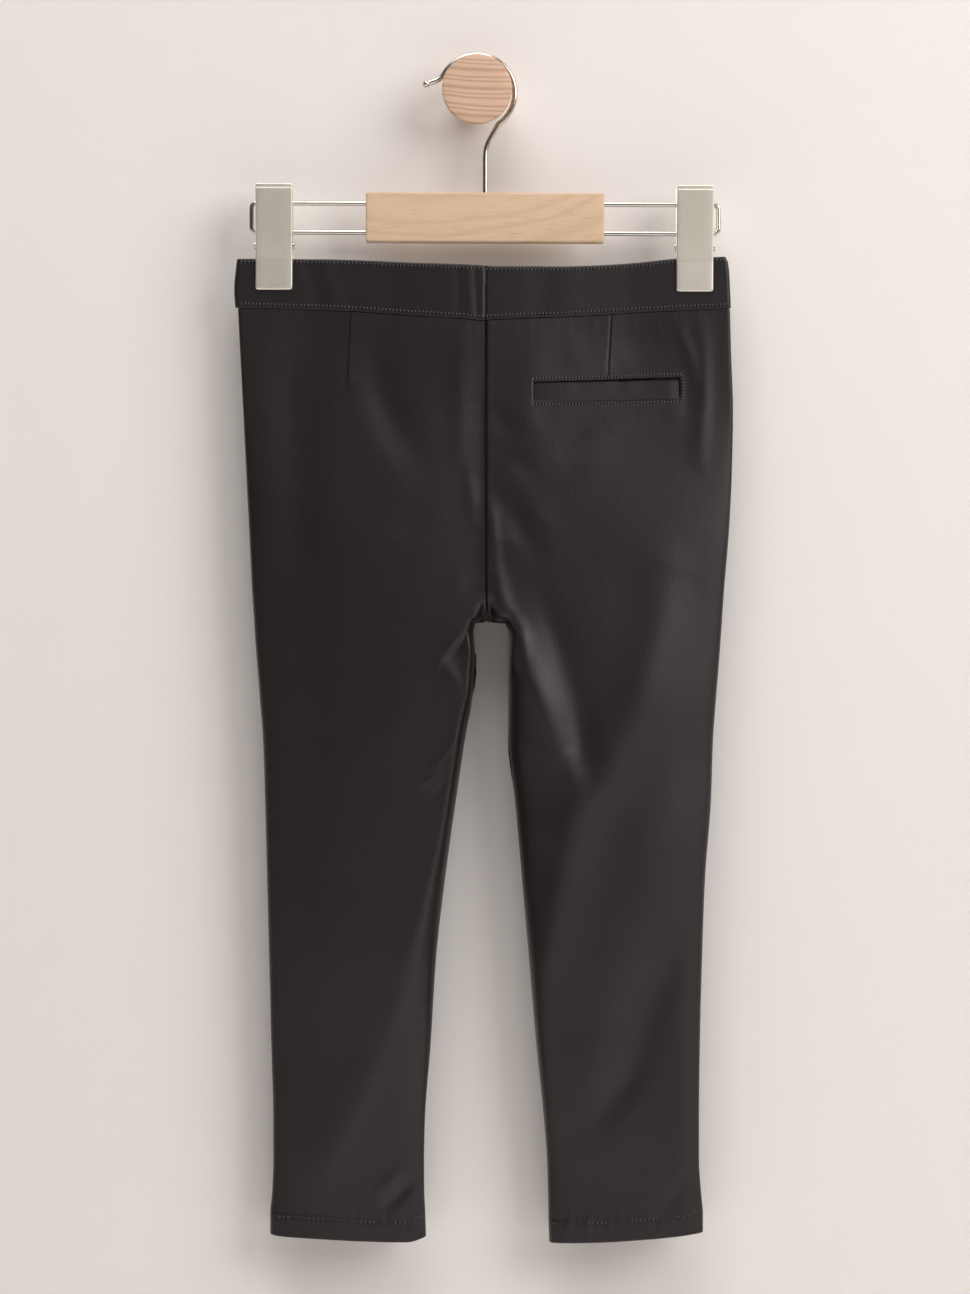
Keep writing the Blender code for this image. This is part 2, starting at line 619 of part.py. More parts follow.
def front_band_columns(side):
    """The left end runs over the right one, so it has more columns past the centre."""
    edge = WAIST_ENDS[side]
    inward = 1.0 if side == "left" else -1.0
    turned = edge + inward * np.array([0.0, 0.6, 2.4, 6.0])
    if side == "left":
        spread = np.linspace(edge + 12.0, CENTRE_X + LAP["step_from"], 10)
        step = np.linspace(CENTRE_X + LAP["step_from"], CENTRE_X + LAP["step_to"], 5)[1:]
        lap = np.linspace(CENTRE_X + LAP["step_to"], CENTRE_X + LAP["over_end"], 4)[1:]
        return np.concatenate([turned, spread, step, lap])
    spread = np.linspace(edge - 12.0, CENTRE_X + LAP["under_end"], 12)
    return np.concatenate([turned, spread])


def mouth_depth(side, x, z):
    """Half depth of the front waist, the same curve on both sides of the centre."""
    own = read_table(BAND_SIDES, BAND_SIDE_COLUMNS, "z", side, z)
    other_side = "right" if side == "left" else "left"
    other = read_table(BAND_SIDES, BAND_SIDE_COLUMNS, "z", other_side, z)
    past = (x - CENTRE_X) * (own - CENTRE_X) < 0.0
    edge = np.where(past, other, own)
    share = np.clip((x - edge) / (CENTRE_X - edge), 0.0, 1.0)
    return turned_edge(np.abs(x - edge), BAND_RADIUS) + WAIST_DEPTH * pinched(share)


def lap_lift(x):
    """The lapped end steps out by one wall and the gap."""
    run = LAP["step_to"] - LAP["step_from"]
    return (BAND_CLOTH + GAP) * smooth_steps((x - CENTRE_X - LAP["step_from"]) / run)


def build_front_band(side):
    columns = front_band_columns(side)
    share_down = np.linspace(0.0, 1.0, BAND_ROWS)[:, None]
    x = np.repeat(columns[None, :], BAND_ROWS, axis=0)
    top = waist_line("top", "front", x)
    seam = waist_line("seam", "front", x) + GAP / 2.0
    z = top + (seam - top) * share_down
    edge = read_table(BAND_SIDES, BAND_SIDE_COLUMNS, "z", side, z)
    near_side = np.clip(1.0 - np.abs(x - columns[0]) / SIDE_DRAW, 0.0, 1.0)
    x = x + (edge - columns[0]) * near_side
    depth = mouth_depth(side, x, z)
    if side == "left":
        depth = depth + lap_lift(x)
    name = "waistband_front_" + side
    return band_shell(name, x, depth, z, "front", side, columns[-1])


def lying_on_panel(name, side, face, x, z, finish, ends_at_seam=False):
    """A strip made from a panel's own points, moved out by the gap and its wall. Where its last column
    ends at the centre seam, that column keeps its x."""
    sign = away_from_middle(face)
    below = middle_y(side, z) + sign * half_depth(side, face, x, z)
    panel = np.stack([x, below, z], axis=2)
    normal = facing(grid_normals(panel), sign, 1)
    if ends_at_seam:
        normal[:, -1, 0] = 0.0
        normal = unit(normal)
    inner = panel + GAP * normal
    outer = panel + (GAP + TRIM_CLOTH) * normal
    return closed_shell(name, outer, inner, finish)


def build_pocket_welt():
    """The straight welt of the back pocket, a little higher at its outer end."""
    across = np.linspace(0.0, 1.0, 15)[None, :]
    down = np.linspace(0.5, -0.5, 4)[:, None]
    x = POCKET["x0"] + (POCKET["x1"] - POCKET["x0"]) * across + 0.0 * down
    z = POCKET["z0"] + (POCKET["z1"] - POCKET["z0"]) * across + POCKET["height"] * down
    return lying_on_panel("pocket_welt", "right", "back", x, z, cloth_material("pocket_welt_cloth"))


def build_fly_placket():
    """The fly: straight down beside the centre front, then curved in to the seam."""
    top = waist_line("seam", "front", CENTRE_X) - GAP
    low = top - FLY["drop"]
    straight = np.linspace(top, low + FLY["curve"], 8)
    bend = np.radians(np.array([22.0, 44.0, 62.0, 76.0, 86.0]))
    drop = np.concatenate([straight, low + FLY["curve"] * (1.0 - np.sin(bend))])
    width = np.concatenate([np.full(8, FLY["width"]), FLY["width"] * np.cos(bend)])
    across = np.linspace(0.0, 1.0, 6)[None, :]
    near = CENTRE_X - GAP
    x = near - width[:, None] * (1.0 - across)
    z = np.repeat(drop[:, None], 6, axis=1)
    z[0] = waist_line("seam", "front", x[0]) - GAP
    finish = cloth_material("fly_placket_cloth")
    return lying_on_panel("fly_placket", "left", "front", x, z, finish, ends_at_seam=True)


def turned_solid(name, profile, sides, finish, close_ends=True, smooth_below=35.0):
    """Turns a profile of (place along the axis, radius) rows round the Y axis."""
    angles = np.linspace(0.0, 2.0 * math.pi, sides, endpoint=False)
    points = []
    for along, radius in profile:
        for angle in angles:
            points.append((radius * math.cos(angle), along, radius * math.sin(angle)))
    faces = []
    rings = len(profile)
    last = rings - 1 if close_ends else rings
    for ring in range(last):
        following = (ring + 1) % rings
        for side in range(sides):
            beside = (side + 1) % sides
            faces.append((ring * sides + side, ring * sides + beside,
                          following * sides + beside, following * sides + side))
    if close_ends:
        faces.append(tuple(range(sides)))
        faces.append(tuple(last * sides + side for side in reversed(range(sides))))
    scaled = [tuple(value * MILLIMETRE for value in point) for point in points]
    return mesh_object(name, scaled, faces, finish, smooth_below)


def build_waist_button():
    """A round button with a raised rim, on the lapped end of the front waistband."""
    radius = BUTTON["radius"]
    thick = BUTTON["thick"]
    eased = BUTTON["eased"]
    rim = BUTTON["rim"]
    well = BUTTON["well"]
    profile = (
        (0.0, radius - eased),
        (eased, radius),
        (thick - eased, radius),
        (thick, radius - eased),
        (thick, radius - rim),
        (thick - well, radius - rim - well),
        (thick - well, rim),
    )
    button = turned_solid("waist_button", profile, 20, button_material("button_plastic"))
    x = np.array([CENTRE_X + BUTTON["x"]])
    z = waist_line("top", "front", x) - BUTTON["drop"]
    surface = HANG_Y + mouth_depth("right", x, z) + BAND_CLOTH + GAP
    button.location = (x[0] * MILLIMETRE, (surface[0] + GAP) * MILLIMETRE, z[0] * MILLIMETRE)
    return button


def build_knob():
    """A turned wall knob: flat back, narrower neck, a flat land for the hook, and a round head."""
    profile = (
        (0.0, KNOB_FOOT_RADIUS - KNOB_EASE),
        (-KNOB_EASE, KNOB_FOOT_RADIUS),
        (-KNOB_LAND_FROM / 2.0, (KNOB_FOOT_RADIUS + KNOB_LAND_RADIUS) / 2.0),
        (-KNOB_LAND_FROM, KNOB_LAND_RADIUS),
        (-KNOB_LAND_TO, KNOB_LAND_RADIUS),
        (-KNOB_LAND_TO - KNOB_RIM, KNOB_RADIUS - KNOB_RIM * 0.3),
        (-KNOB_LAND_TO - KNOB_RIM * 1.7, KNOB_RADIUS),
        (-KNOB_DEPTH + KNOB_RIM, KNOB_RADIUS),
        (-KNOB_DEPTH + KNOB_RIM * 0.3, KNOB_RADIUS - KNOB_RIM * 0.3),
        (-KNOB_DEPTH, KNOB_RADIUS - KNOB_RIM),
    )
    return turned_solid("wall_knob", profile, 36, wood_material("knob_wood", (0.60, 0.40, 0.26)))


def wire_solid(name, path, radii, sides, finish):
    """A round wire along a path that stays in one plane of constant y."""
    path = np.asarray(path, dtype=float)
    ahead = np.gradient(path, axis=0)
    ahead = unit(ahead)
    across = np.stack([ahead[:, 1], -ahead[:, 0]], axis=1)
    angles = np.linspace(0.0, 2.0 * math.pi, sides, endpoint=False) + math.pi / sides
    points = []
    for (x, z), side_way, radius in zip(path, across, radii):
        for angle in angles:
            reach = radius * math.cos(angle)
            away = radius * math.sin(angle)
            points.append((x + side_way[0] * reach, HANG_Y + away, z + side_way[1] * reach))
    faces = []
    last = len(path) - 1
    for ring in range(last):
        for side in range(sides):
            beside = (side + 1) % sides
            faces.append((ring * sides + side, ring * sides + beside,
                          (ring + 1) * sides + beside, (ring + 1) * sides + side))
    faces.append(tuple(range(sides)))
    faces.append(tuple(last * sides + side for side in reversed(range(sides))))
    scaled = [tuple(value * MILLIMETRE for value in point) for point in points]
    return mesh_object(name, scaled, faces, finish, 50.0)


def arc(centre_x, centre_z, radius, start_degrees, end_degrees, count):
    """Points on a round bend, angles counted from +X towards +Z."""
    angles = np.radians(np.linspace(start_degrees, end_degrees, count))
    return [(centre_x + radius * math.cos(a), centre_z + radius * math.sin(a)) for a in angles]


def build_rail(side, pivot):
    """The double wire on one side of the bar, closed at its outer end by two round bends."""
    outward = -1.0 if side == "left" else 1.0
    bar_end = BAR_LEFT if side == "left" else BAR_RIGHT
    end = RAIL_END_LEFT if side == "left" else RAIL_END_RIGHT
    start = bar_end - outward * RAIL_SEAT
    bend_x = end - outward * RAIL_CORNER
    path = [(start, RAIL_TOP_Z), (bar_end, RAIL_TOP_Z)]
    upper = arc(0.0, RAIL_TOP_Z - RAIL_CORNER, RAIL_CORNER, 90.0, 0.0, 5)
    lower = arc(0.0, RAIL_LOW_Z + RAIL_CORNER, RAIL_CORNER, 0.0, -90.0, 5)
    path += [(bend_x + outward * x, z) for x, z in upper + lower]
    path += [(bar_end, RAIL_LOW_Z), (start, RAIL_LOW_Z)]
    name = "hanger_rail_" + side
    rail = wire_solid(name, path, [RAIL_RADIUS] * len(path), 10, metal_material(name + "_metal", 0.25))
    return hang_on(rail, pivot)


def hang_on(piece, pivot):
    """Parents a piece to the hanger's pivot, so that it takes the hanger's small tilt."""
    piece.parent = pivot
    piece.matrix_parent_inverse = pivot.matrix_basis.to_3x3().to_4x4() @ pivot.matrix_basis.inverted()
    return piece


def hook_path():
    """Up the shank, out into the round bend, over the knob, and out to the ball end."""
    shank = [(HOOK_X, BAR_TOP - HOOK_SEAT), (HOOK_X, BAR_TOP), (HOOK_X, -46.0), (HOOK_X, -37.5)]
    bend = arc(HOOK_ARC_X, HOOK_ARC_Z, HOOK_ARC_RADIUS, -56.0, 148.0, 23)
    return shank + HOOK_LEAN + bend + HOOK_TIP


def build_hook():
    """The wire hook, with a small ball straight on from its tip."""
    path = hook_path()
    radii = [HOOK_RADIUS] * len(path)
    end = np.array(path[-1])
    ahead = unit(end - np.array(path[-2]))
    for degrees in (50.0, 90.0, 130.0, 165.0):
        angle = math.radians(degrees)
        reach = BALL_RADIUS * (0.9 - math.cos(angle))
        path.append(tuple(end + ahead * reach))
        radii.append(BALL_RADIUS * math.sin(angle))
    return wire_solid("hanger_hook", path, radii, 10, metal_material("hook_metal", 0.2))


def bore(target, start, end, radius, sides=12):
    """Cuts a round hole from one point to another, both in millimetres."""
    start = np.asarray(start, dtype=float)
    end = np.asarray(end, dtype=float)
    along = unit(end - start)
    helper = np.array([0.0, 1.0, 0.0])
    first = unit(np.cross(along, helper))
    second = np.cross(along, first)
    points = []
    for centre in (start, end):
        for angle in np.linspace(0.0, 2.0 * math.pi, sides, endpoint=False) + math.pi / sides:
            around = first * math.cos(angle) + second * math.sin(angle)
            points.append((centre + radius * around) * MILLIMETRE)
    faces = [(side, (side + 1) % sides, sides + (side + 1) % sides, sides + side) for side in range(sides)]
    faces += [tuple(range(sides)), tuple(sides + side for side in reversed(range(sides)))]
    cutter = mesh_object(target.name + "_cutter", [tuple(p) for p in points], faces, target.data.materials[0])
    cutter.hide_render = True
    cutter.display_type = "WIRE"
    cut = target.modifiers.new("bore", "BOOLEAN")
    cut.operation = "DIFFERENCE"
    cut.solver = "EXACT"
    cut.object = cutter
    return cutter


def build_bar(pivot):
    """The wooden bar, with eased edges and bores for the rails and the hook."""
    width = BAR_RIGHT - BAR_LEFT
    height = BAR_TOP - BAR_LOW
    shape = bmesh.new()
    bmesh.ops.create_cube(shape, size=1.0)
    middle = ((BAR_LEFT + BAR_RIGHT) / 2.0, HANG_Y, (BAR_TOP + BAR_LOW) / 2.0)
    for corner in shape.verts:
        corner.co.x = (middle[0] + corner.co.x * width) * MILLIMETRE
        corner.co.y = (middle[1] + corner.co.y * BAR_THICK) * MILLIMETRE
        corner.co.z = (middle[2] + corner.co.z * height) * MILLIMETRE
    bmesh.ops.bevel(shape, geom=shape.edges[:], offset=BAR_BEVEL * MILLIMETRE, segments=2, profile=0.5,
                    affect="EDGES")
    mesh = bpy.data.meshes.new("hanger_bar")
    shape.to_mesh(mesh)
    shape.free()
    mesh.shade_smooth()
    mesh.set_sharp_from_angle(angle=math.radians(40.0))
    mesh.materials.append(wood_material("bar_wood", (0.66, 0.47, 0.31)))
    bar = bpy.data.objects.new("hanger_bar", mesh)
    bpy.context.scene.collection.objects.link(bar)
    hang_on(bar, pivot)
    for z in (RAIL_TOP_Z, RAIL_LOW_Z):
        for end, inward in ((BAR_LEFT, 1.0), (BAR_RIGHT, -1.0)):
            start = (end - inward * 2.0, HANG_Y, z)
            stop = (end + inward * (RAIL_SEAT + GAP), HANG_Y, z)
            hang_on(bore(bar, start, stop, RAIL_RADIUS + GAP), pivot)
    start = (HOOK_X, HANG_Y, BAR_TOP + 2.0)
    stop = (HOOK_X, HANG_Y, BAR_TOP - HOOK_SEAT - GAP)
    hang_on(bore(bar, start, stop, HOOK_RADIUS + GAP + 0.1), pivot)
    return bar


# One row for each level of a clip plate, from the jaw's end to the top: the height, how far the plate's
# face is from the middle plane, and how far its flanges' tips are. Past the plane is under 0.
CLIP_COLUMNS = ("z", "face", "tip")
CLIP_FRONT = (
    (-116.3, 3.75, 2.5),
    (-115.6, 3.95, 2.5),
    (-98.6, 3.95, 2.5),
    (-95.9, 4.35, 2.5),
    (-94.3, 4.57, -2.6),
    (-88.0, 5.45, -3.3),
    (-61.0, 9.15, -3.3),
    (-58.6, 9.48, 2.0),
    (-56.0, 9.75, 7.6),
    (-55.4, 9.6, 7.6),
)
CLIP_BACK = (
    (-116.3, 3.75, 2.5),
    (-115.6, 3.95, 2.5),
    (-98.6, 3.95, 2.5),
    (-95.9, 4.35, 2.95),
    (-94.3, 4.57, 3.0),
    (-88.0, 5.45, 3.65),
    (-61.0, 9.15, 3.65),
    (-58.6, 9.48, 5.0),
    (-56.0, 9.75, 7.6),
    (-55.4, 9.6, 7.6),
)


def clip_outline(face, tip, width):
    """Points round a plate with a flange at each side, as (across, away from the middle plane)."""
    half = width / 2.0
    eased = CLIP_CORNER
    inside = face - CLIP_PLATE
    mirrored = [
        (half - eased, face),
        (half - eased * 0.3, face - eased * 0.3),
        (half, face - eased),
        (half, tip),
        (half - CLIP_PLATE, tip),
        (half - CLIP_PLATE, inside),
    ]
    return mirrored + [(-across, away) for across, away in reversed(mirrored)]


def build_clip_plate(name, centre_x, table, sign, pivot):
    """One sprung plate of a clip: a flat face, with side flanges that reach in above the jaw."""
    points = []
    for row in table:
        level = dict(zip(CLIP_COLUMNS, row))
        for across, away in clip_outline(level["face"], level["tip"], CLIP_WIDTH):
            points.append((centre_x + across, HANG_Y + sign * away, level["z"]))
    count = len(clip_outline(4.0, 2.0, CLIP_WIDTH))
    faces = []
    for ring in range(len(table) - 1):
        for side in range(count):
            beside = (side + 1) % count
            faces.append((ring * count + side, ring * count + beside,
                          (ring + 1) * count + beside, (ring + 1) * count + side))
    faces.append(tuple(range(count)))
    top = (len(table) - 1) * count
    faces.append(tuple(top + side for side in reversed(range(count))))
    scaled = [tuple(value * MILLIMETRE for value in point) for point in points]
    plate = mesh_object(name, scaled, faces, metal_material(name + "_metal", 0.32), 35.0)
    return hang_on(plate, pivot)


def build_clip(side, centre_x, pivot):
    front = build_clip_plate("clip_" + side + "_front", centre_x, CLIP_FRONT, -1.0, pivot)
    build_clip_plate("clip_" + side + "_back", centre_x, CLIP_BACK, 1.0, pivot)
    reach = CLIP_WIDTH / 2.0 + 2.0
    for z, radius in ((RAIL_TOP_Z, RAIL_RADIUS), (RAIL_LOW_Z, RAIL_RADIUS), (PIN_Z, PIN_RADIUS)):
        start = (centre_x - reach, HANG_Y, z)
        stop = (centre_x + reach, HANG_Y, z)
        hang_on(bore(front, start, stop, radius + GAP), pivot)
    build_pin(side, centre_x, pivot)
    build_spring(side, centre_x, pivot)


def across_clip(piece, centre_x, pivot):
    """Lays a piece that was turned round the Y axis across a clip, at the pin's height."""
    piece.rotation_euler = (0.0, 0.0, -math.pi / 2.0)
    piece.location = (centre_x * MILLIMETRE, HANG_Y * MILLIMETRE, PIN_Z * MILLIMETRE)
    bpy.context.view_layer.update()
    return hang_on(piece, pivot)


def build_pin(side, centre_x, pivot):
    """The pin through the flanges, with a low head at each end."""
    seat = CLIP_WIDTH / 2.0 + GAP
    head = PIN_RADIUS + PIN_HEAD
    eased = PIN_HEAD / 2.0
    profile = (
        (-seat - PIN_HEAD, head - eased),
        (-seat - eased, head),
        (-seat, head),
        (-seat, PIN_RADIUS),
        (seat, PIN_RADIUS),
        (seat, head),
        (seat + eased, head),
        (seat + PIN_HEAD, head - eased),
    )
    name = "clip_" + side + "_pin"
    across_clip(turned_solid(name, profile, 12, metal_material(name + "_metal", 0.3)), centre_x, pivot)


def build_spring(side, centre_x, pivot):
    """The coiled spring round the pin, as the tube that it fills."""
    half = SPRING_LENGTH / 2.0
    inner = PIN_RADIUS + GAP
    profile = (
        (-half, inner),
        (half, inner),
        (half, SPRING_RADIUS),
        (-half, SPRING_RADIUS),
    )
    name = "clip_" + side + "_spring"
    finish = metal_material(name + "_metal", 0.35)
    across_clip(turned_solid(name, profile, 12, finish, close_ends=False), centre_x, pivot)


def build_hanger():
    pivot = bpy.data.objects.new("hanger_pivot", None)
    bpy.context.scene.collection.objects.link(pivot)
    pivot.location = (HOOK_X * MILLIMETRE, HANG_Y * MILLIMETRE, BAR_TOP * MILLIMETRE)
    pivot.rotation_euler = (0.0, HANGER_TILT, 0.0)
    bpy.context.view_layer.update()
    build_bar(pivot)
    for side in ("left", "right"):
        build_rail(side, pivot)
    build_clip("left", CLIP_LEFT_X, pivot)
    build_clip("right", CLIP_RIGHT_X, pivot)


def build_trousers():
    for side in ("left", "right"):
        for face in ("back", "front"):
            build_panel(side, face)
        build_back_band(side)
        build_front_band(side)
    build_pocket_welt()
    build_fly_placket()
    build_waist_button()


def main():
    clear_scene()
    build_trousers()
    build_hanger()
    build_hook()
    build_knob()


main()
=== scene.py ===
import math

import bpy
import numpy as np
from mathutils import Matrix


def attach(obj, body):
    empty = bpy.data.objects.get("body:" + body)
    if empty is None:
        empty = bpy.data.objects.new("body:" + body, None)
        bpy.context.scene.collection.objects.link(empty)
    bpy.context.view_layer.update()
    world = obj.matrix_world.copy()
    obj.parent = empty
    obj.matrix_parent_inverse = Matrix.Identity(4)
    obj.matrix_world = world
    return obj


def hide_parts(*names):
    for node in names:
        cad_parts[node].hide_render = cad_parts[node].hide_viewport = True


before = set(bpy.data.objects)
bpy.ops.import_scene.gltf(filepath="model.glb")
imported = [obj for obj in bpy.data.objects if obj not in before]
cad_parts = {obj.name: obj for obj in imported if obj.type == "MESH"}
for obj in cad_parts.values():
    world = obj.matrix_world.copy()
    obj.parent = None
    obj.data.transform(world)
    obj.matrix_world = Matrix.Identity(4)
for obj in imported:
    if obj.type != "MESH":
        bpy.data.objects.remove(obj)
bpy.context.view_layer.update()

# Skinny trousers hung by the waistband from a two-clip hanger on a round wall knob.
# The back of the trousers faces -Y. Sizes are in millimetres and become metres when a mesh is made.
mm = 0.001
nearlyNothing = 1.0e-6

# The camera looks straight at the wall. One pixel of the photo is this size in the trousers' middle plane.
photo = {"width": 970.0, "height": 1294.0, "pixel": 0.58, "knobX": 477.0, "knobY": 90.5}
lens = {"fromWall": 2400.0, "sensor": 36.0}

# What the whole garment shares: seams, walls and how the hollow opens from the flat waist to the round legs.
garment = {
    "centreX": 4.7,            # centre-back and centre-front seams
    "hangY": -26.0,            # middle plane of the waistband, the rails and the hook
    "cloth": 0.55,             # one layer of cloth
    "bandCloth": 1.9,          # waistband: two layers and an interlining
    "edgeRadius": 1.7,         # half thickness where the panels turn round a side edge
    "bandRadius": 2.15,        # the same for the waistband
    "seamGap": 0.04,           # half of the space that is left at a sewn seam
    "bandGap": 0.12,           # the same under the waistband
    "pinch": 0.26,             # share of each half width that the clips hold flat
    "roundingDrop": 135.0,     # height over which the flat waist becomes the round seat
    "fullness": 0.56,          # 0.5 is an ellipse, and more is a flatter flank
    "crotchZ": -307.7,
    "crotchRise": 14.0,        # height over which the seat closes between the legs
    "crotchEase": 30.0,        # height above the crotch where the form starts to follow the inseam
    "easePast": 10.0,          # how much further than that it eases below the crotch
    "crotchRound": 4.2,        # rounding of the cloth into the crotch's top edge, and its reach up and down
    "crotchReach": 26.0,
    "inseamRound": 0.5,        # rounding of the hollow into the rest of the inseam
    "rimFade": 11.0,           # distance from a side edge over which the relief comes in
    "frontCrest": 0.6,         # where the front of a leg is fullest, as in the table of crests
    "frontDip": 10.5,          # how much lower the front waist hangs at its middle
    "notchReach": 20.0,        # the back's waist dips to the centre seam within this, the front's does not
    "waistDepth": 5.0,         # half opening of the waist at its middle
    "sideLeft": -140.0,        # ends of the waistband, from which it is divided
    "sideRight": 147.0,
    "topZ": -130.0,            # first and last rows of a panel before they follow the seam and the hem
    "lowZ": -667.0,
}


def tableOf(columns, rows):
    # A dictionary with one array for each named column.
    return dict(zip(columns.split(), np.array(rows, dtype=float).T))


# Sections from the waist seam to the hem: side and inner edge of each leg, half depth, middle of the depth.
sections = tableOf("z sideLeft innerLeft innerRight sideRight depth midLeft midRight", [
    (-120.0, -139.0, 4.7, 4.7, 146.6, 4.4, -26.0, -26.0),
    (-150.0, -137.5, 4.7, 4.7, 147.3, 6.6, -26.0, -26.0),
    (-185.0, -135.7, 4.7, 4.7, 148.5, 9.1, -26.0, -26.0),
    (-220.0, -134.0, 4.7, 4.7, 147.9, 11.4, -26.0, -26.0),
    (-255.0, -132.2, 4.7, 4.7, 146.2, 13.4, -26.0, -26.0),
    (-290.0, -130.5, 4.9, 4.9, 143.3, 15.2, -26.0, -26.0),
    (-307.7, -129.3, 5.2, 5.2, 142.1, 16.15, -26.0, -26.0),
    (-308.8, -129.25, -0.6, 15.7, 142.05, 16.2, -26.0, -26.0),
    (-313.5, -129.0, -2.0, 18.0, 141.7, 16.45, -26.0, -26.0),
    (-334.0, -127.4, -0.7, 18.0, 140.2, 17.3, -25.9, -26.1),
    (-353.5, -125.9, -2.9, 18.0, 138.6, 17.8, -25.8, -26.2),
    (-376.7, -124.1, -7.0, 18.0, 136.9, 17.9, -25.6, -26.3),
    (-411.5, -123.0, -12.2, 22.0, 135.7, 17.3, -25.4, -26.5),
    (-458.0, -121.8, -18.6, 26.1, 132.2, 15.8, -25.0, -26.6),
    (-504.0, -120.6, -23.8, 30.2, 130.5, 14.0, -24.6, -26.6),
    (-551.0, -119.5, -26.7, 34.2, 129.3, 11.0, -24.2, -26.4),
    (-597.0, -118.3, -30.2, 38.9, 128.8, 8.5, -23.8, -26.2),
    (-620.0, -118.3, -30.7, 40.6, 128.8, 7.3, -23.6, -26.0),
    (-638.0, -118.9, -30.6, 41.1, 129.9, 6.5, -23.5, -25.9),
    (-652.0, -120.1, -30.0, 41.4, 131.1, 6.2, -23.4, -25.8),
    (-670.0, -120.1, -29.4, 41.9, 131.1, 6.0, -23.4, -25.8),
])

# Where the back of each leg is fullest, as a share of its width from the side seam to the inseam.
crests = tableOf("z left right", [
    (-232.0, 0.9, 0.93),
    (-290.0, 0.97, 0.95),
    (-312.0, 0.97, 0.955),
    (-330.0, 0.97, 0.95),
    (-345.0, 0.97, 0.91),
    (-365.0, 0.95, 0.85),
    (-400.0, 0.95, 0.77),
    (-437.0, 0.93, 0.75),
    (-463.0, 0.90, 0.80),
    (-489.0, 0.85, 0.85),
    (-511.0, 0.80, 0.89),
    (-545.0, 0.74, 0.92),
    (-577.0, 0.60, 0.93),
    (-606.0, 0.45, 0.90),
    (-630.0, 0.33, 0.86),
    (-670.0, 0.28, 0.84),
])

# The waistband's top edge and the seam under it, along the back.
waistLines = tableOf("x top seam", [
    (-141.0, -97.6, -126.2),
    (-85.0, -98.1, -127.9),
    (-33.0, -100.4, -131.4),
    (-8.0, -101.3, -133.0),
    (3.5, -101.9, -134.0),
    (10.0, -102.4, -133.6),
    (48.0, -102.4, -132.0),
    (71.0, -101.6, -130.8),
    (94.5, -99.9, -129.1),
    (115.4, -97.7, -128.1),
    (147.0, -96.4, -126.7),
])

# The waistband's outer edges down its height.
bandSides = tableOf("z left right", [
    (-96.0, -138.9, 143.6),
    (-99.0, -139.4, 145.4),
    (-104.0, -140.0, 146.2),
    (-115.0, -140.9, 146.8),
    (-127.0, -140.2, 147.3),
])

# The lower edge of each leg.
hemLines = {
    "left": tableOf("x z", [
        (-120.1, -663.4), (-115.0, -664.2), (-91.0, -665.6), (-67.0, -667.0), (-40.0, -667.8),
        (-29.4, -665.0),
    ]),
    "right": tableOf("x z", [
        (41.9, -667.8), (71.0, -667.3), (94.5, -666.0), (115.4, -664.3), (131.1, -662.1),
    ]),
}

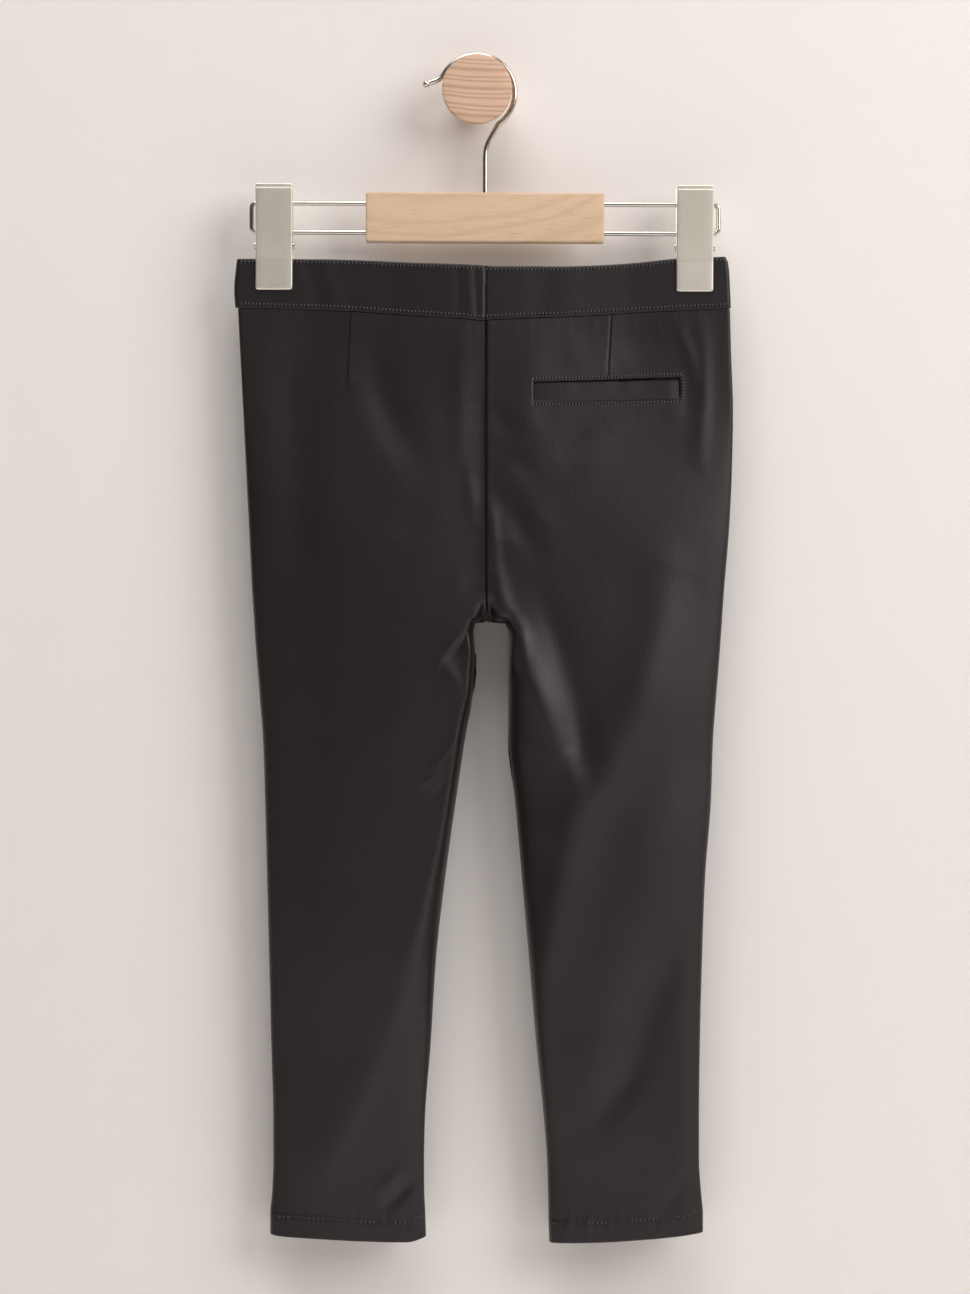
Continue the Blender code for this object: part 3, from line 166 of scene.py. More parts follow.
# Folds, each from one end to the other. bend bows the line to its right, width is the bell's reach, a height
# under 0 is a trough, and lean above 0 makes the left flank wide and the right one steep.
foldColumns = "x0 z0 x1 z1 bend width height lean"
folds = {
    "back": tableOf(foldColumns, [
        # right thigh: the ridge out of the crotch, its run down the leg and the troughs beside it
        (6.4, -240.0, 6.6, -302.0, 0.0, 4.0, 0.6, 0.0),
        (8.5, -240.0, 12.0, -282.0, 0.0, 3.2, 0.9, -0.1),
        (11.8, -280.0, 18.0, -309.0, -1.0, 4.4, 1.7, -0.2),
        (17.0, -306.0, 25.0, -326.0, 0.5, 5.4, 3.0, -0.3),
        (24.0, -324.0, 45.0, -384.0, 1.0, 8.0, 4.4, -0.35),
        (44.0, -382.0, 56.0, -412.0, 0.0, 9.0, 2.0, -0.2),
        (34.0, -290.0, 55.0, -348.0, 2.0, 8.0, -1.3, 0.0),
        (57.0, -350.0, 63.0, -398.0, 1.0, 8.0, -1.9, 0.0),
        (110.0, -280.0, 51.0, -430.0, 12.0, 16.0, 3.9, 0.0),
        (60.0, -404.0, 43.0, -500.0, -1.0, 11.0, 2.8, -0.2),
        (128.0, -372.0, 124.0, -420.0, 0.0, 10.0, -1.0, 0.0),
        (104.0, -420.0, 92.0, -500.0, 0.0, 16.0, 1.0, 0.0),
        (113.0, -494.0, 90.0, -572.0, -2.0, 14.0, -2.6, 0.2),
        (92.0, -564.0, 66.0, -602.0, 0.0, 11.0, -1.7, 0.2),
        (126.0, -530.0, 118.0, -640.0, 0.0, 11.0, 1.5, 0.0),
        (74.0, -520.0, 62.0, -610.0, 0.0, 14.0, 1.0, 0.0),
        (43.5, -596.0, 49.0, -622.0, 1.5, 5.0, -0.9, 0.0),
        (11.5, -262.2, 21.0, -260.6, 0.6, 1.3, 0.5, 0.0),
        # right seat: beside the pocket, the side and the dart
        (130.5, -136.0, 129.3, -214.0, 1.0, 5.2, 1.2, 0.1),
        (117.0, -138.0, 127.0, -170.0, 1.5, 3.8, 0.8, 0.0),
        (128.0, -150.0, 128.0, -186.0, 0.0, 4.0, -0.5, 0.0),
        (83.0, -153.0, 106.0, -139.0, 0.0, 9.0, -1.0, 0.0),
        (122.0, -172.0, 122.5, -190.0, 0.0, 5.0, -0.6, 0.0),
        (67.0, -196.0, 46.0, -216.0, 0.0, 8.0, -0.8, 0.0),
        (77.0, -200.0, 58.0, -226.0, 0.0, 10.0, 0.5, 0.0),
        (12.0, -188.0, 18.0, -199.0, 0.0, 5.0, -0.6, 0.0),
        (26.0, -182.0, 35.0, -202.0, 0.0, 7.0, 0.5, 0.0),
        (17.0, -238.0, 33.0, -266.0, 0.0, 7.0, -1.4, 0.0),
        (28.0, -236.0, 44.0, -262.0, 0.0, 9.0, 0.6, 0.0),
        (19.0, -212.0, 34.0, -224.0, 0.0, 6.0, -0.6, 0.0),
        (34.0, -150.0, 24.0, -186.0, 2.0, 10.0, 0.6, 0.0),
        (52.0, -140.0, 60.0, -162.0, 0.0, 7.0, 0.3, 0.0),
        # left seat: the fold released from the dart and the trough beside it
        (-73.7, -142.0, -64.0, -196.0, -1.0, 15.0, 0.6, 0.2),
        (-67.0, -176.0, -44.0, -236.0, -1.0, 16.0, 0.5, 0.2),
        (-60.0, -150.0, -50.0, -196.0, -1.0, 10.0, -1.1, 0.0),
        (-54.0, -178.0, -34.0, -218.0, -1.0, 11.0, -1.0, 0.0),
        (-28.0, -240.0, -46.0, -262.0, 0.0, 12.0, -0.8, 0.0),
        (-9.0, -144.0, -10.0, -214.0, 0.0, 6.0, 0.8, 0.0),
        (-5.0, -222.0, -2.0, -248.0, 0.0, 4.0, 0.6, 0.0),
        (-82.0, -150.0, -80.0, -172.0, 0.0, 5.0, 0.2, 0.0),
        (-106.0, -148.0, -102.0, -330.0, 0.0, 15.0, -2.2, 0.0),
        (-122.0, -150.0, -117.0, -270.0, 0.0, 10.0, 0.3, 0.0),
        (-7.0, -280.0, -15.0, -296.0, 0.0, 4.0, 0.5, 0.0),
        # left thigh: the sharp crease out of the crotch and the cloth that drops behind it
        (2.6, -296.5, -20.5, -329.0, 1.0, 3.6, 0.8, 0.6),
        (5.0, -298.5, -17.6, -330.5, 1.0, 5.5, -2.5, -0.78),
        (-19.5, -331.0, -9.0, -350.0, 1.0, 3.6, 0.9, 0.1),
        (-40.0, -350.0, -48.0, -378.0, 0.0, 11.0, 0.7, 0.0),
        (-11.6, -375.0, -28.4, -394.0, 1.6, 1.7, 0.55, 0.2),
        (-21.5, -391.8, -33.0, -403.4, 1.2, 1.7, 0.5, 0.2),
        (-8.0, -384.0, -27.0, -412.0, 1.0, 2.4, -0.5, 0.0),
        (-96.0, -330.0, -98.0, -450.0, 0.0, 17.0, -1.7, 0.0),
        (-60.0, -400.0, -70.0, -480.0, 0.0, 16.0, -0.7, 0.0),
        # left shin and hem
        (-24.0, -452.0, -50.0, -540.0, 2.0, 9.0, 1.2, 0.3),
        (-50.0, -536.0, -90.0, -630.0, 2.0, 11.0, 1.3, 0.3),
        (-104.0, -470.0, -98.0, -590.0, 0.0, 15.0, -0.8, 0.0),
        (-38.3, -632.0, -52.0, -646.0, 0.8, 3.6, -1.5, 0.0),
        (-44.0, -626.0, -58.0, -640.0, 0.0, 4.0, 0.8, 0.0),
        (-62.0, -600.0, -48.0, -640.0, 0.0, 9.0, 0.6, 0.0),
        # right hem
        (54.0, -650.0, 52.5, -664.0, 0.0, 2.4, 0.6, 0.0),
        (65.0, -652.0, 64.0, -664.0, 0.0, 2.6, 0.5, 0.0),
        (120.0, -632.0, 108.0, -650.0, 0.0, 5.0, -0.6, 0.0),
    ]),
    "front": tableOf(foldColumns, [
        (-8.0, -286.0, -40.0, -356.0, -3.0, 9.0, 2.3, 0.3),
        (17.0, -286.0, 54.0, -354.0, 3.0, 9.0, 2.1, -0.3),
        (-30.0, -296.0, -92.0, -276.0, -3.0, 8.0, -1.5, 0.0),
        (40.0, -298.0, 104.0, -280.0, 3.0, 9.0, -1.6, 0.0),
        (-22.0, -284.0, -80.0, -262.0, -2.0, 6.0, 0.8, 0.2),
        (34.0, -282.0, 92.0, -264.0, 2.0, 6.0, 0.9, -0.2),
        (-26.0, -310.0, -78.0, -304.0, -2.0, 6.0, 0.7, 0.0),
        (38.0, -314.0, 88.0, -310.0, 2.0, 6.0, 0.6, 0.0),
        (-60.0, -400.0, -78.0, -540.0, 0.0, 16.0, 1.5, 0.0),
        (76.0, -390.0, 90.0, -530.0, 0.0, 16.0, 1.6, 0.0),
        (-38.0, -520.0, -92.0, -600.0, 2.0, 13.0, -1.3, 0.0),
        (48.0, -510.0, 110.0, -604.0, -2.0, 13.0, -1.3, 0.0),
        (-20.0, -356.0, -42.0, -384.0, 0.0, 4.0, 0.6, 0.0),
        (26.0, -350.0, 44.0, -392.0, 0.0, 5.0, 0.7, 0.0),
        (-48.0, -420.0, -100.0, -446.0, 0.0, 9.0, -0.6, 0.0),
        (62.0, -424.0, 112.0, -440.0, 0.0, 9.0, -0.6, 0.0),
        (-52.0, -452.0, -104.0, -470.0, 0.0, 8.0, 0.5, 0.0),
        (60.0, -448.0, 116.0, -470.0, 0.0, 8.0, 0.5, 0.0),
        (-70.0, -140.0, -64.0, -230.0, 0.0, 12.0, 0.9, 0.0),
        (78.0, -140.0, 72.0, -226.0, 0.0, 12.0, 0.9, 0.0),
        (-112.0, -150.0, -96.0, -236.0, 0.0, 8.0, -0.7, 0.0),
        (120.0, -150.0, 108.0, -236.0, 0.0, 8.0, -0.7, 0.0),
        (-36.0, -640.0, -44.0, -658.0, 0.0, 4.0, -0.5, 0.0),
        (70.0, -636.0, 78.0, -656.0, 0.0, 4.0, 0.5, 0.0),
    ]),
}

# Gathers in the back waistband beside the centre seam, and its few soft creases: place at the top and at
# the seam, width and height.
gathers = tableOf("top seam width height", [
    (-19.0, -16.0, 4.0, 0.14),
    (-11.8, -9.6, 2.0, -0.2),
    (-6.2, -2.9, 2.3, 0.27),
    (-1.2, 0.4, 1.7, -0.24),
    (3.6, 4.6, 1.4, 0.08),
])
bandCreases = tableOf("top seam width height", [
    (-99.0, -90.0, 4.0, -0.35),
    (-89.0, -80.0, 5.0, 0.35),
    (-52.0, -47.0, 9.0, -0.3),
    (39.0, 36.0, 8.0, -0.35),
    (52.0, 54.0, 10.0, 0.2),
    (84.0, 92.0, 9.0, -0.2),
])

darts = {
    "left": {"x0": -73.2, "x1": -75.0, "z0": -130.2, "z1": -172.5, "lip": 0.5, "reach": 7.0, "groove": 0.1},
    "right": {"x0": 78.1, "x1": 76.2, "z0": -130.2, "z1": -167.0, "lip": 0.45, "reach": 6.0, "groove": 0.25},
}
dartLine = {"steep": 0.7, "grooveOut": 0.5, "grooveWide": 0.6, "fadeTo": 1.04, "fadeOver": 0.12}

# The back pocket: its welt between two ends, the sunk box round it, the stitched frame and the cloth
# beside it.
pocket = {
    "x0": 33.6, "x1": 117.1, "z0": -175.5, "z1": -173.5, "height": 10.1,
    "sink": 1.9, "edge": 0.3, "margin": 0.12, "innerGap": 0.8, "outerGap": 0.5, "under": 0.7,
    "slitLeft": 0.8, "slitRight": 1.8, "slitGrowth": 1.5,
    "weltCloth": 0.45, "overlap": 0.45, "innerLap": 1.6, "proud": 0.35, "sag": 0.1, "unevenness": 0.12,
    "unevenLength": 19.0, "fall": 1.4, "fallOver": 10.0, "easeOver": 6.0,
    "lip": 0.15, "lipOut": 1.0, "lipWidth": 1.8,
    "ridge": 0.32, "ridgeOut": 1.9, "ridgeWidth": 1.0, "ridgeTall": 6.5,
    "stitchOut": 2.0, "dimple": 0.06, "dimpleWidth": 0.5, "frameFade": 5.0,
    "tackOut": 1.75, "tackHalf": 0.5, "tackCount": 26,
}

# How the cloth falls in towards the centre seam: a narrow groove, a shallow one and a broad valley.
valley = {
    "deepLeft": 0.0, "deepRight": 1.8, "narrow": 0.9,
    "shallow": 0.5, "wide": 6.0, "shallowFrom": -260.0, "shallowOver": 60.0,
    "broad": 3.0, "broadLeft": 30.0, "broadRight": 17.0, "shareLeft": 1.3, "shareRight": 0.5, "settle": 30.0,
    "settleOver": 120.0, "waistOver": 60.0, "crotchFade": 5.0,
}
hem = {
    "depth": 13.0, "step": 0.4, "stepOver": 1.2, "stepFade": 2.0, "stitchUp": 11.7, "fold": 0.65,
    "turnUp": 14.0, "groove": 0.2, "grooveWide": 0.6, "stitchZ": -655.0,
}
puckers = {
    "waist": 0.06, "hem": 0.12, "length": 7.5, "reach": 9.0, "seam": 0.14, "seamLength": 11.0,
    "seamReach": 5.0, "hemReach": 5.0, "hemShare": 0.8,
}
drape = {"height": 0.35, "near": 61.0, "far": 133.0}
fly = {
    "width": 31.0, "drop": 118.0, "curve": 27.0, "stitchIn": 3.2, "inset": 0.3, "over": 0.25,
    "edgeRise": 0.75, "edgeWidth": 2.0, "cloth": 0.6, "seamEnd": 4.0, "seamFade": 10.0,
}
lap = {"stepFrom": -9.0, "stepTo": 1.0, "underEnd": 3.5, "overEnd": 26.0, "clear": 0.3}
stitch = {
    "pitch": 2.15, "long": 1.3, "radius": 0.24, "rise": 0.22, "slant": 68.0,
    # The dip sizes are of the flat near-black beads that paint the shade between stitches.
    "shadeDipLong": 1.3, "shadeDipWide": 0.58, "shadeDipTall": 0.16, "shadeDipRise": 0.10,
    "overSeam": 2.7, "underTop": 1.9, "rowSink": 0.06, "ripple": 0.05, "rippleLength": 5.2,
    "hemPitch": 2.5, "hemLong": 1.2, "hemSlant": 20.0, "hemSink": 0.55, "hemLength": 26.0,
    "pocketPitch": 1.9, "pocketLong": 1.2, "tackPitch": 1.25, "tackLong": 1.1,
}


def smoothSteps(share):
    # 3 s^2 - 2 s^3 of a share kept between 0 and 1: flat at both ends.
    kept = np.clip(share, 0.0, 1.0)
    return kept * kept * (3.0 - 2.0 * kept)


def curveThrough(xs, ys, at):
    # Cubic pieces through the points, with harmonic mean slopes, so that the curve never overshoots them.
    order = np.argsort(xs)
    xs, ys = np.asarray(xs)[order], np.asarray(ys)[order]
    step = np.diff(xs)
    rise = np.diff(ys) / step
    slope = np.zeros_like(ys)
    slope[0], slope[-1] = rise[0], rise[-1]
    turning = rise[:-1] * rise[1:] > 0.0
    total = np.where(turning, rise[:-1] + rise[1:], 1.0)
    slope[1:-1] = np.where(turning, 2.0 * rise[:-1] * rise[1:] / total, 0.0)
    at = np.clip(np.asarray(at, dtype=float), xs[0], xs[-1])
    cell = np.clip(np.searchsorted(xs, at, side="right") - 1, 0, len(step) - 1)
    s = (at - xs[cell]) / step[cell]
    left = ys[cell] * (1.0 + 2.0 * s) * (1.0 - s) ** 2 + slope[cell] * step[cell] * s * (1.0 - s) ** 2
    right = ys[cell + 1] * s * s * (3.0 - 2.0 * s) - slope[cell + 1] * step[cell] * s * s * (1.0 - s)
    return left + right


def sectionAt(name, z):
    return curveThrough(sections["z"], sections[name], z)


def capital(word):
    return word[0].upper() + word[1:]


def faceSign(face):
    return -1.0 if face == "back" else 1.0


def sideSign(side):
    return -1.0 if side == "left" else 1.0


def unit(vectors):
    return vectors / np.maximum(np.linalg.norm(vectors, axis=-1, keepdims=True), nearlyNothing)


def wander(x, length, seed):
    # Three sines of uneven length added up: a ripple that never quite repeats.
    turn = 2.0 * math.pi / length
    return (np.sin(x * turn + seed) + 0.6 * np.sin(x * turn * 1.63 + 2.3 * seed)
            + 0.5 * np.sin(x * turn * 0.61 + 4.1 * seed)) / 1.6


def crowded(count, places):
    # Shares from 0 to 1, closer together at each place: (share, width, how many times closer).
    fine = np.linspace(0.0, 1.0, 6001)
    crowd = np.ones_like(fine)
    for at, width, closer in places:
        crowd = crowd + closer * np.exp(-((fine - at) / width) ** 2)
    walked = np.concatenate([[0.0], np.cumsum((crowd[1:] + crowd[:-1]) / 2.0)])
    return np.interp(np.linspace(0.0, 1.0, count), walked / walked[-1], fine)


def pinched(share):
    # Nothing where the clips hold the cloth flat, then a squared sine up to 1 at the middle.
    opened = np.clip((share - garment["pinch"]) / (1.0 - garment["pinch"]), 0.0, 1.0)
    return np.sin(opened * math.pi / 2.0) ** 2


def waistLine(name, face, x):
    # The waistband's top or seam; the front hangs lower towards its middle.
    centre = garment["centreX"]
    kept = (np.abs(waistLines["x"] - centre) > garment["notchReach"]) | (face == "back")
    height = curveThrough(waistLines["x"][kept], waistLines[name][kept], x)
    if face == "front":
        end = np.where(np.asarray(x) < centre, garment["sideLeft"], garment["sideRight"])
        height = height - garment["frontDip"] * pinched(np.abs(x - end) / np.abs(centre - end))
    return height


def hemLine(side, x):
    return curveThrough(hemLines[side]["x"], hemLines[side]["z"], x)


def formEdge(side, z):
    # The inner edge that the form follows: the centre seam, easing into the inseam round the crotch.
    ease = garment["crotchEase"]
    past = garment["easePast"]
    eased = smoothSteps((garment["crotchZ"] + ease - z) / (2.0 * ease + past))
    below = sectionAt("inner" + capital(side), np.minimum(z, garment["crotchZ"] - ease - past))
    return garment["centreX"] + (below - garment["centreX"]) * eased


def ringShape(side, face, share, z):
    # Share of the full depth round a section: (1 - (1 - t)^2) to a power, with t rising from the side to the
    # fullest line and falling again to the inseam. Above the crotch that fall fades out.
    crest = garment["frontCrest"] if face == "front" else curveThrough(crests["z"], crests[side], z)
    rising = share < crest
    toCrest = np.where(rising, share / crest, (1.0 - share) / (1.0 - crest))
    risen = np.clip((z - garment["crotchZ"]) / garment["crotchRise"], 0.0, 1.0)
    shut = np.where(rising, 1.0, (1.0 - risen) ** 2)
    return 1.0 - (1.0 - (1.0 - (1.0 - toCrest) ** 2) ** garment["fullness"]) * shut


def inseamDistance(side, x, z):
    # Distance to the inner edge of a leg, from the crotch down, as the nearest of its straight pieces.
    below = sections["z"] <= garment["crotchZ"]
    edgeX, edgeZ = sections["inner" + capital(side)][below], sections["z"][below]
    nearest = np.full(np.shape(x), 1.0e6)
    for x0, z0, x1, z1 in zip(edgeX[:-1], edgeZ[:-1], edgeX[1:], edgeZ[1:]):
        along = ((x - x0) * (x1 - x0) + (z - z0) * (z1 - z0)) / ((x1 - x0) ** 2 + (z1 - z0) ** 2)
        along = np.clip(along, 0.0, 1.0)
        nearest = np.minimum(nearest, np.hypot(x - x0 - along * (x1 - x0), z - z0 - along * (z1 - z0)))
    return nearest


def turnedEdge(distance, radius):
    # A quarter circle: the cloth rises to the radius over the same distance from its edge.
    share = np.clip(distance / radius, 0.0, 1.0)
    return radius * np.sqrt(1.0 - (1.0 - share) ** 2)


def foldHeight(rows, x, z):
    # Each fold is a bell across a bowed line, wider on one side by its lean, and lower towards its ends.
    total = np.zeros(np.shape(x))
    for x0, z0, x1, z1, bend, width, height, lean in zip(*rows.values()):
        runX, runZ = x1 - x0, z1 - z0
        length = math.hypot(runX, runZ)
        along = ((x - x0) * runX + (z - z0) * runZ) / length ** 2
        kept = np.clip(along, 0.0, 1.0)
        past = (along - kept) * length
        across = ((z - z0) * runX - (x - x0) * runZ) / length - 4.0 * bend * kept * (1.0 - kept)
        flank = width * np.where(across < 0.0, 1.0 + lean, 1.0 - lean)
        total = total + height * (0.4 + 0.6 * np.sin(kept * math.pi)) * np.exp(
            -(across / flank) ** 2 - (past / width) ** 2)
    return total


def creaseHeight(rows, x, shareDown):
    # Bells that lean from their place at the waistband's top to their place at its seam.
    total = np.zeros(np.shape(x))
    for top, seam, width, height in zip(*rows.values()):
        total = total + height * np.exp(-((x - top - (seam - top) * shareDown) / width) ** 2)
    return total


def dartHeight(dart, x, z):
    # A step up along the dart that falls off as exp(-d / reach), with a shallow groove on its low side. Both
    # run out at the dart's point.
    down = np.clip((dart["z0"] - z) / (dart["z0"] - dart["z1"]), 0.0, 1.2)
    away = x - dart["x0"] - (dart["x1"] - dart["x0"]) * down
    fade = smoothSteps((dartLine["fadeTo"] - down) / dartLine["fadeOver"])
    step = dart["lip"] * smoothSteps(away / dartLine["steep"] + 0.5)
    lip = step * np.exp(-np.maximum(away, 0.0) / dart["reach"])
    groove = dart["groove"] * np.exp(-((away + dartLine["grooveOut"]) / dartLine["grooveWide"]) ** 2)
    return (lip - groove) * fade


def pocketMiddle(x):
    share = (x - pocket["x0"]) / (pocket["x1"] - pocket["x0"])
    return pocket["z0"] + (pocket["z1"] - pocket["z0"]) * share


def pocketReach(x):
    # How far the opening reaches over and under its middle. The slit over the welt grows to its outer end.
    share = np.clip((x - pocket["x0"]) / (pocket["x1"] - pocket["x0"]), 0.0, 1.0)
    slit = pocket["slitLeft"] + (pocket["slitRight"] - pocket["slitLeft"]) * share ** pocket["slitGrowth"]
    return pocket["height"] / 2.0 + slit, pocket["height"] / 2.0 + pocket["margin"]


def pocketHeight(x, z):
    # The opening: a sunk box round the welt, with a raised lip above, a ridge beside its outer end and the
    # dimples of the stitched frame.
    above = z - pocketMiddle(x)
    top, low = pocketReach(x)
    edge, under = pocket["edge"], pocket["under"]
    inside = (smoothSteps((top - above) / edge + 0.5) * smoothSteps((above + low - under) / edge + 0.5)
              * smoothSteps((x - pocket["x0"] + pocket["innerGap"]) / edge + 0.5)
              * smoothSteps((pocket["x1"] + pocket["outerGap"] - x) / edge + 0.5))
    fade, out, width = pocket["frameFade"], pocket["stitchOut"], pocket["dimpleWidth"]
    nearBox = smoothSteps((x - pocket["x0"] + fade) / fade) * smoothSteps((pocket["x1"] + fade - x) / fade)
    lip = pocket["lip"] * np.exp(-((above - top - pocket["lipOut"]) / pocket["lipWidth"]) ** 2)
    ridge = pocket["ridge"] * np.exp(-((x - pocket["x1"] - pocket["ridgeOut"]) / pocket["ridgeWidth"]) ** 2
                                     - (above / pocket["ridgeTall"]) ** 4)
    dimple = -pocket["dimple"] * (np.exp(-((above - top - out) / width) ** 2)
                                  + np.exp(-((above + low + out) / width) ** 2)) * nearBox
    return lip * nearBox + ridge + dimple - pocket["sink"] * inside


def relief(side, face, x, z):
    # Everything that is finer than the panel's main form, added up.
    total = foldHeight(folds[face], x, z)
    belowWaist = waistLine("seam", face, x) - z
    ripple = wander(x, puckers["length"], 1.3) * np.exp(-belowWaist / puckers["reach"])
    total = total + puckers["waist"] * ripple
    fromCrotch = z - garment["crotchZ"]
    away = np.abs(x - sectionAt("innerLeft", np.maximum(z, garment["crotchZ"])))
    above = smoothSteps(fromCrotch / valley["crotchFade"])
    deep = valley["deep" + capital(side)] if face == "back" else valley["deepRight"]
    groove = deep * np.exp(-(away / valley["narrow"]) ** 2)
    if side == "left":
        high = smoothSteps((z - valley["shallowFrom"]) / valley["shallowOver"])
        groove = groove + valley["shallow"] * high * np.exp(-(away / valley["wide"]) ** 2)
    down = smoothSteps(belowWaist / valley["waistOver"])
    down = down * smoothSteps((fromCrotch + valley["settle"]) / valley["settleOver"])
    down = down * (valley["share" + capital(side)] if face == "back" else 1.0)
    total = total - valley["broad"] * down * np.exp(-(away / valley["broad" + capital(side)]) ** 2)
    if face == "front":
        flyEnd = waistLine("seam", "front", garment["centreX"]) - fly["drop"]
        above = above * smoothSteps((flyEnd + fly["seamEnd"] - z) / fly["seamFade"])
    seed = 2.0 if side == "left" else 4.4
    pull = wander(z, puckers["seamLength"], seed) * np.exp(-away / puckers["seamReach"])
    total = total - (groove - puckers["seam"] * pull) * above
    if face == "back":
        total = total + dartHeight(darts[side], x, z)
        if side == "right":
            total = total + pocketHeight(x, z)
    fromStitches = z - hemLine(side, x) - hem["stitchUp"]
    ripple = wander(x, puckers["length"] * puckers["hemShare"], 3.1)
    total = total + puckers["hem"] * ripple * np.exp(-(fromStitches / puckers["hemReach"]) ** 2)
    total = total - hem["groove"] * np.exp(-(fromStitches / hem["grooveWide"]) ** 2)
    slow = wander(x * 0.9 + z * 0.21, drape["near"], 0.7) * wander(z * 0.8 - x * 0.3, drape["far"], 1.9)
    return total + drape["height"] * slow


def panelDepth(side, face, x, z):
    # Distance of a panel's outer face from the middle plane: a ring that is pinched flat at the waist and
    # round below, turned at its edges, with the hem's step and the relief.
    outer = sectionAt("side" + capital(side), z)
    share = np.clip((x - outer) / (formEdge(side, z) - outer), 0.0, 1.0)
    roundness = smoothSteps((waistLine("seam", face, x) - z) / garment["roundingDrop"])
    ring = ringShape(side, face, share, z)
    hollow = sectionAt("depth", z) * ((1.0 - roundness) * pinched(share) + roundness * ring)
    inseam = inseamDistance(side, x, z)
    nearCrotch = np.exp(-((z - garment["crotchZ"]) / garment["crotchReach"]) ** 2)
    rounding = garment["inseamRound"] + garment["crotchRound"] * nearCrotch
    hollow = hollow * turnedEdge(inseam, rounding) / rounding
    rim = np.minimum(np.abs(x - outer), inseam)
    step = hem["step"] * smoothSteps((hemLine(side, x) + hem["depth"] - z) / hem["stepOver"] + 0.5)
    step = step * smoothSteps(rim / hem["stepFade"])
    detail = relief(side, face, x, z) * smoothSteps(rim / garment["rimFade"])
    return turnedEdge(rim, garment["edgeRadius"]) + hollow + step + detail


def panelY(side, face, x, z):
    depth = np.maximum(panelDepth(side, face, x, z), garment["seamGap"])
    return sectionAt("mid" + capital(side), z) + faceSign(face) * depth


def gridNormals(points, sign):
    # Cross product of the differences along rows and columns, all turned to the given side of the wall.
    normal = unit(np.cross(np.gradient(points, axis=1), np.gradient(points, axis=0)))
    return normal * (sign * np.sign(np.sum(normal[:, :, 1])))


def walkedLengths(points):
    # Real lengths over the surface: across from each row's middle, and down the middle column.
    across = np.linalg.norm(np.diff(points, axis=1), axis=2)
    u = np.concatenate([np.zeros((len(points), 1)), np.cumsum(across, axis=1)], axis=1)
    u = u - u[:, points.shape[1] // 2][:, None]
    middle = points[:, points.shape[1] // 2]
    v = np.concatenate([[0.0], np.cumsum(np.linalg.norm(np.diff(middle, axis=0), axis=1))])
    return np.stack([u, np.repeat(-v[:, None], points.shape[1], axis=1)], axis=2)


def gridFaces(rows, columns, wrapColumns=False, flip=False):
    # Four corners for each cell of the grid, joined round to the first column where it wraps.
    r, c = np.meshgrid(np.arange(rows - 1), np.arange(columns if wrapColumns else columns - 1), indexing="ij")
    beside = (c + 1) % columns
    corners = [r * columns + c, r * columns + beside, (r + 1) * columns + beside, (r + 1) * columns + c]
    if flip:
        corners = corners[::-1]
    return np.stack(corners, axis=2).reshape(-1, 4)


def meshPiece(name, points, faces, finish, extraFaces=(), uv=None, sharp=None):
    # Puts points in millimetres and faces into a mesh, with an optional UV of one pair for each point.
    mesh = bpy.data.meshes.new(name)
    points = np.asarray(points, dtype=float).reshape(-1, 3)
    polygons = [tuple(face) for face in np.asarray(faces).tolist()] + [tuple(face) for face in extraFaces]
    mesh.from_pydata((points * mm).tolist(), [], polygons)
    if uv is not None:
        corner = np.zeros(len(mesh.loops), dtype=np.int32)
        mesh.loops.foreach_get("vertex_index", corner)
        layer = mesh.uv_layers.new(name="clothLengths")
        layer.data.foreach_set("uv", (np.asarray(uv).reshape(-1, 2)[corner] * mm).ravel())
    mesh.shade_smooth()
    if sharp is not None:
        mesh.set_sharp_from_angle(angle=math.radians(sharp))
    mesh.materials.append(finish)
    piece = bpy.data.objects.new(name, mesh)
    bpy.context.scene.collection.objects.link(piece)
    return piece


def ringPiece(name, points, finish, flip=False, sharp=None, uv=None):
    # Rings of points joined all round, with the first and the last ring closed by end faces.
    rings, around = points.shape[:2]
    first = list(range(around))
    last = [(rings - 1) * around + k for k in first]
    caps = [first, last[::-1]] if flip else [first[::-1], last]
    faces = gridFaces(rings, around, wrapColumns=True, flip=flip)
    return meshPiece(name, points, faces, finish, extraFaces=caps, uv=uv, sharp=sharp)


def clothSheet(name, points, uv, thickness, flip, sharp=None):
    # A grid over the cloth's outer face, with its own material and its wall.
    finish = clothMaterial(name + "Cloth")
    piece = meshPiece(name, points, gridFaces(*points.shape[:2], flip=flip), finish, uv=uv, sharp=sharp)
    return giveWall(piece, thickness)


def place(piece, slot, *nodes):
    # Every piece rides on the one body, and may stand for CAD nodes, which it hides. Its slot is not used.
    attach(piece, "root")
    if nodes:
        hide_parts(*nodes)
    return piece


def giveWall(piece, thickness):
    # A wall on the inner side of the faces, closed at the rims. The rims stay sharp in the shading.
    mesh = piece.data
    ofLoop = np.zeros(len(mesh.loops), dtype=np.int32)
    mesh.loops.foreach_get("edge_index", ofLoop)
    rim = np.bincount(ofLoop, minlength=len(mesh.edges)) == 1
    marked = mesh.attributes.get("sharp_edge") or mesh.attributes.new("sharp_edge", "BOOLEAN", "EDGE")
    steep = np.zeros(len(mesh.edges), dtype=bool)
    marked.data.foreach_get("value", steep)
    marked.data.foreach_set("value", steep | rim)
    wall = piece.modifiers.new("wall", "SOLIDIFY")
    wall.thickness = thickness * mm
    wall.offset = -1.0
    wall.use_rim = True
    return piece


# Node groups and materials

grainWave = {
    "bow": -2.4, "sway": 0.37, "swayStrength": 1.4, "sharpness": 2.2, "poreFrom": 0.56, "poreSlope": 7.0,
}


def feed(tree, socket, value):
    # Joins the socket to another one, or sets it to a plain value.
    if isinstance(value, bpy.types.NodeSocket):
        tree.links.new(value, socket)
    else:
        socket.default_value = value


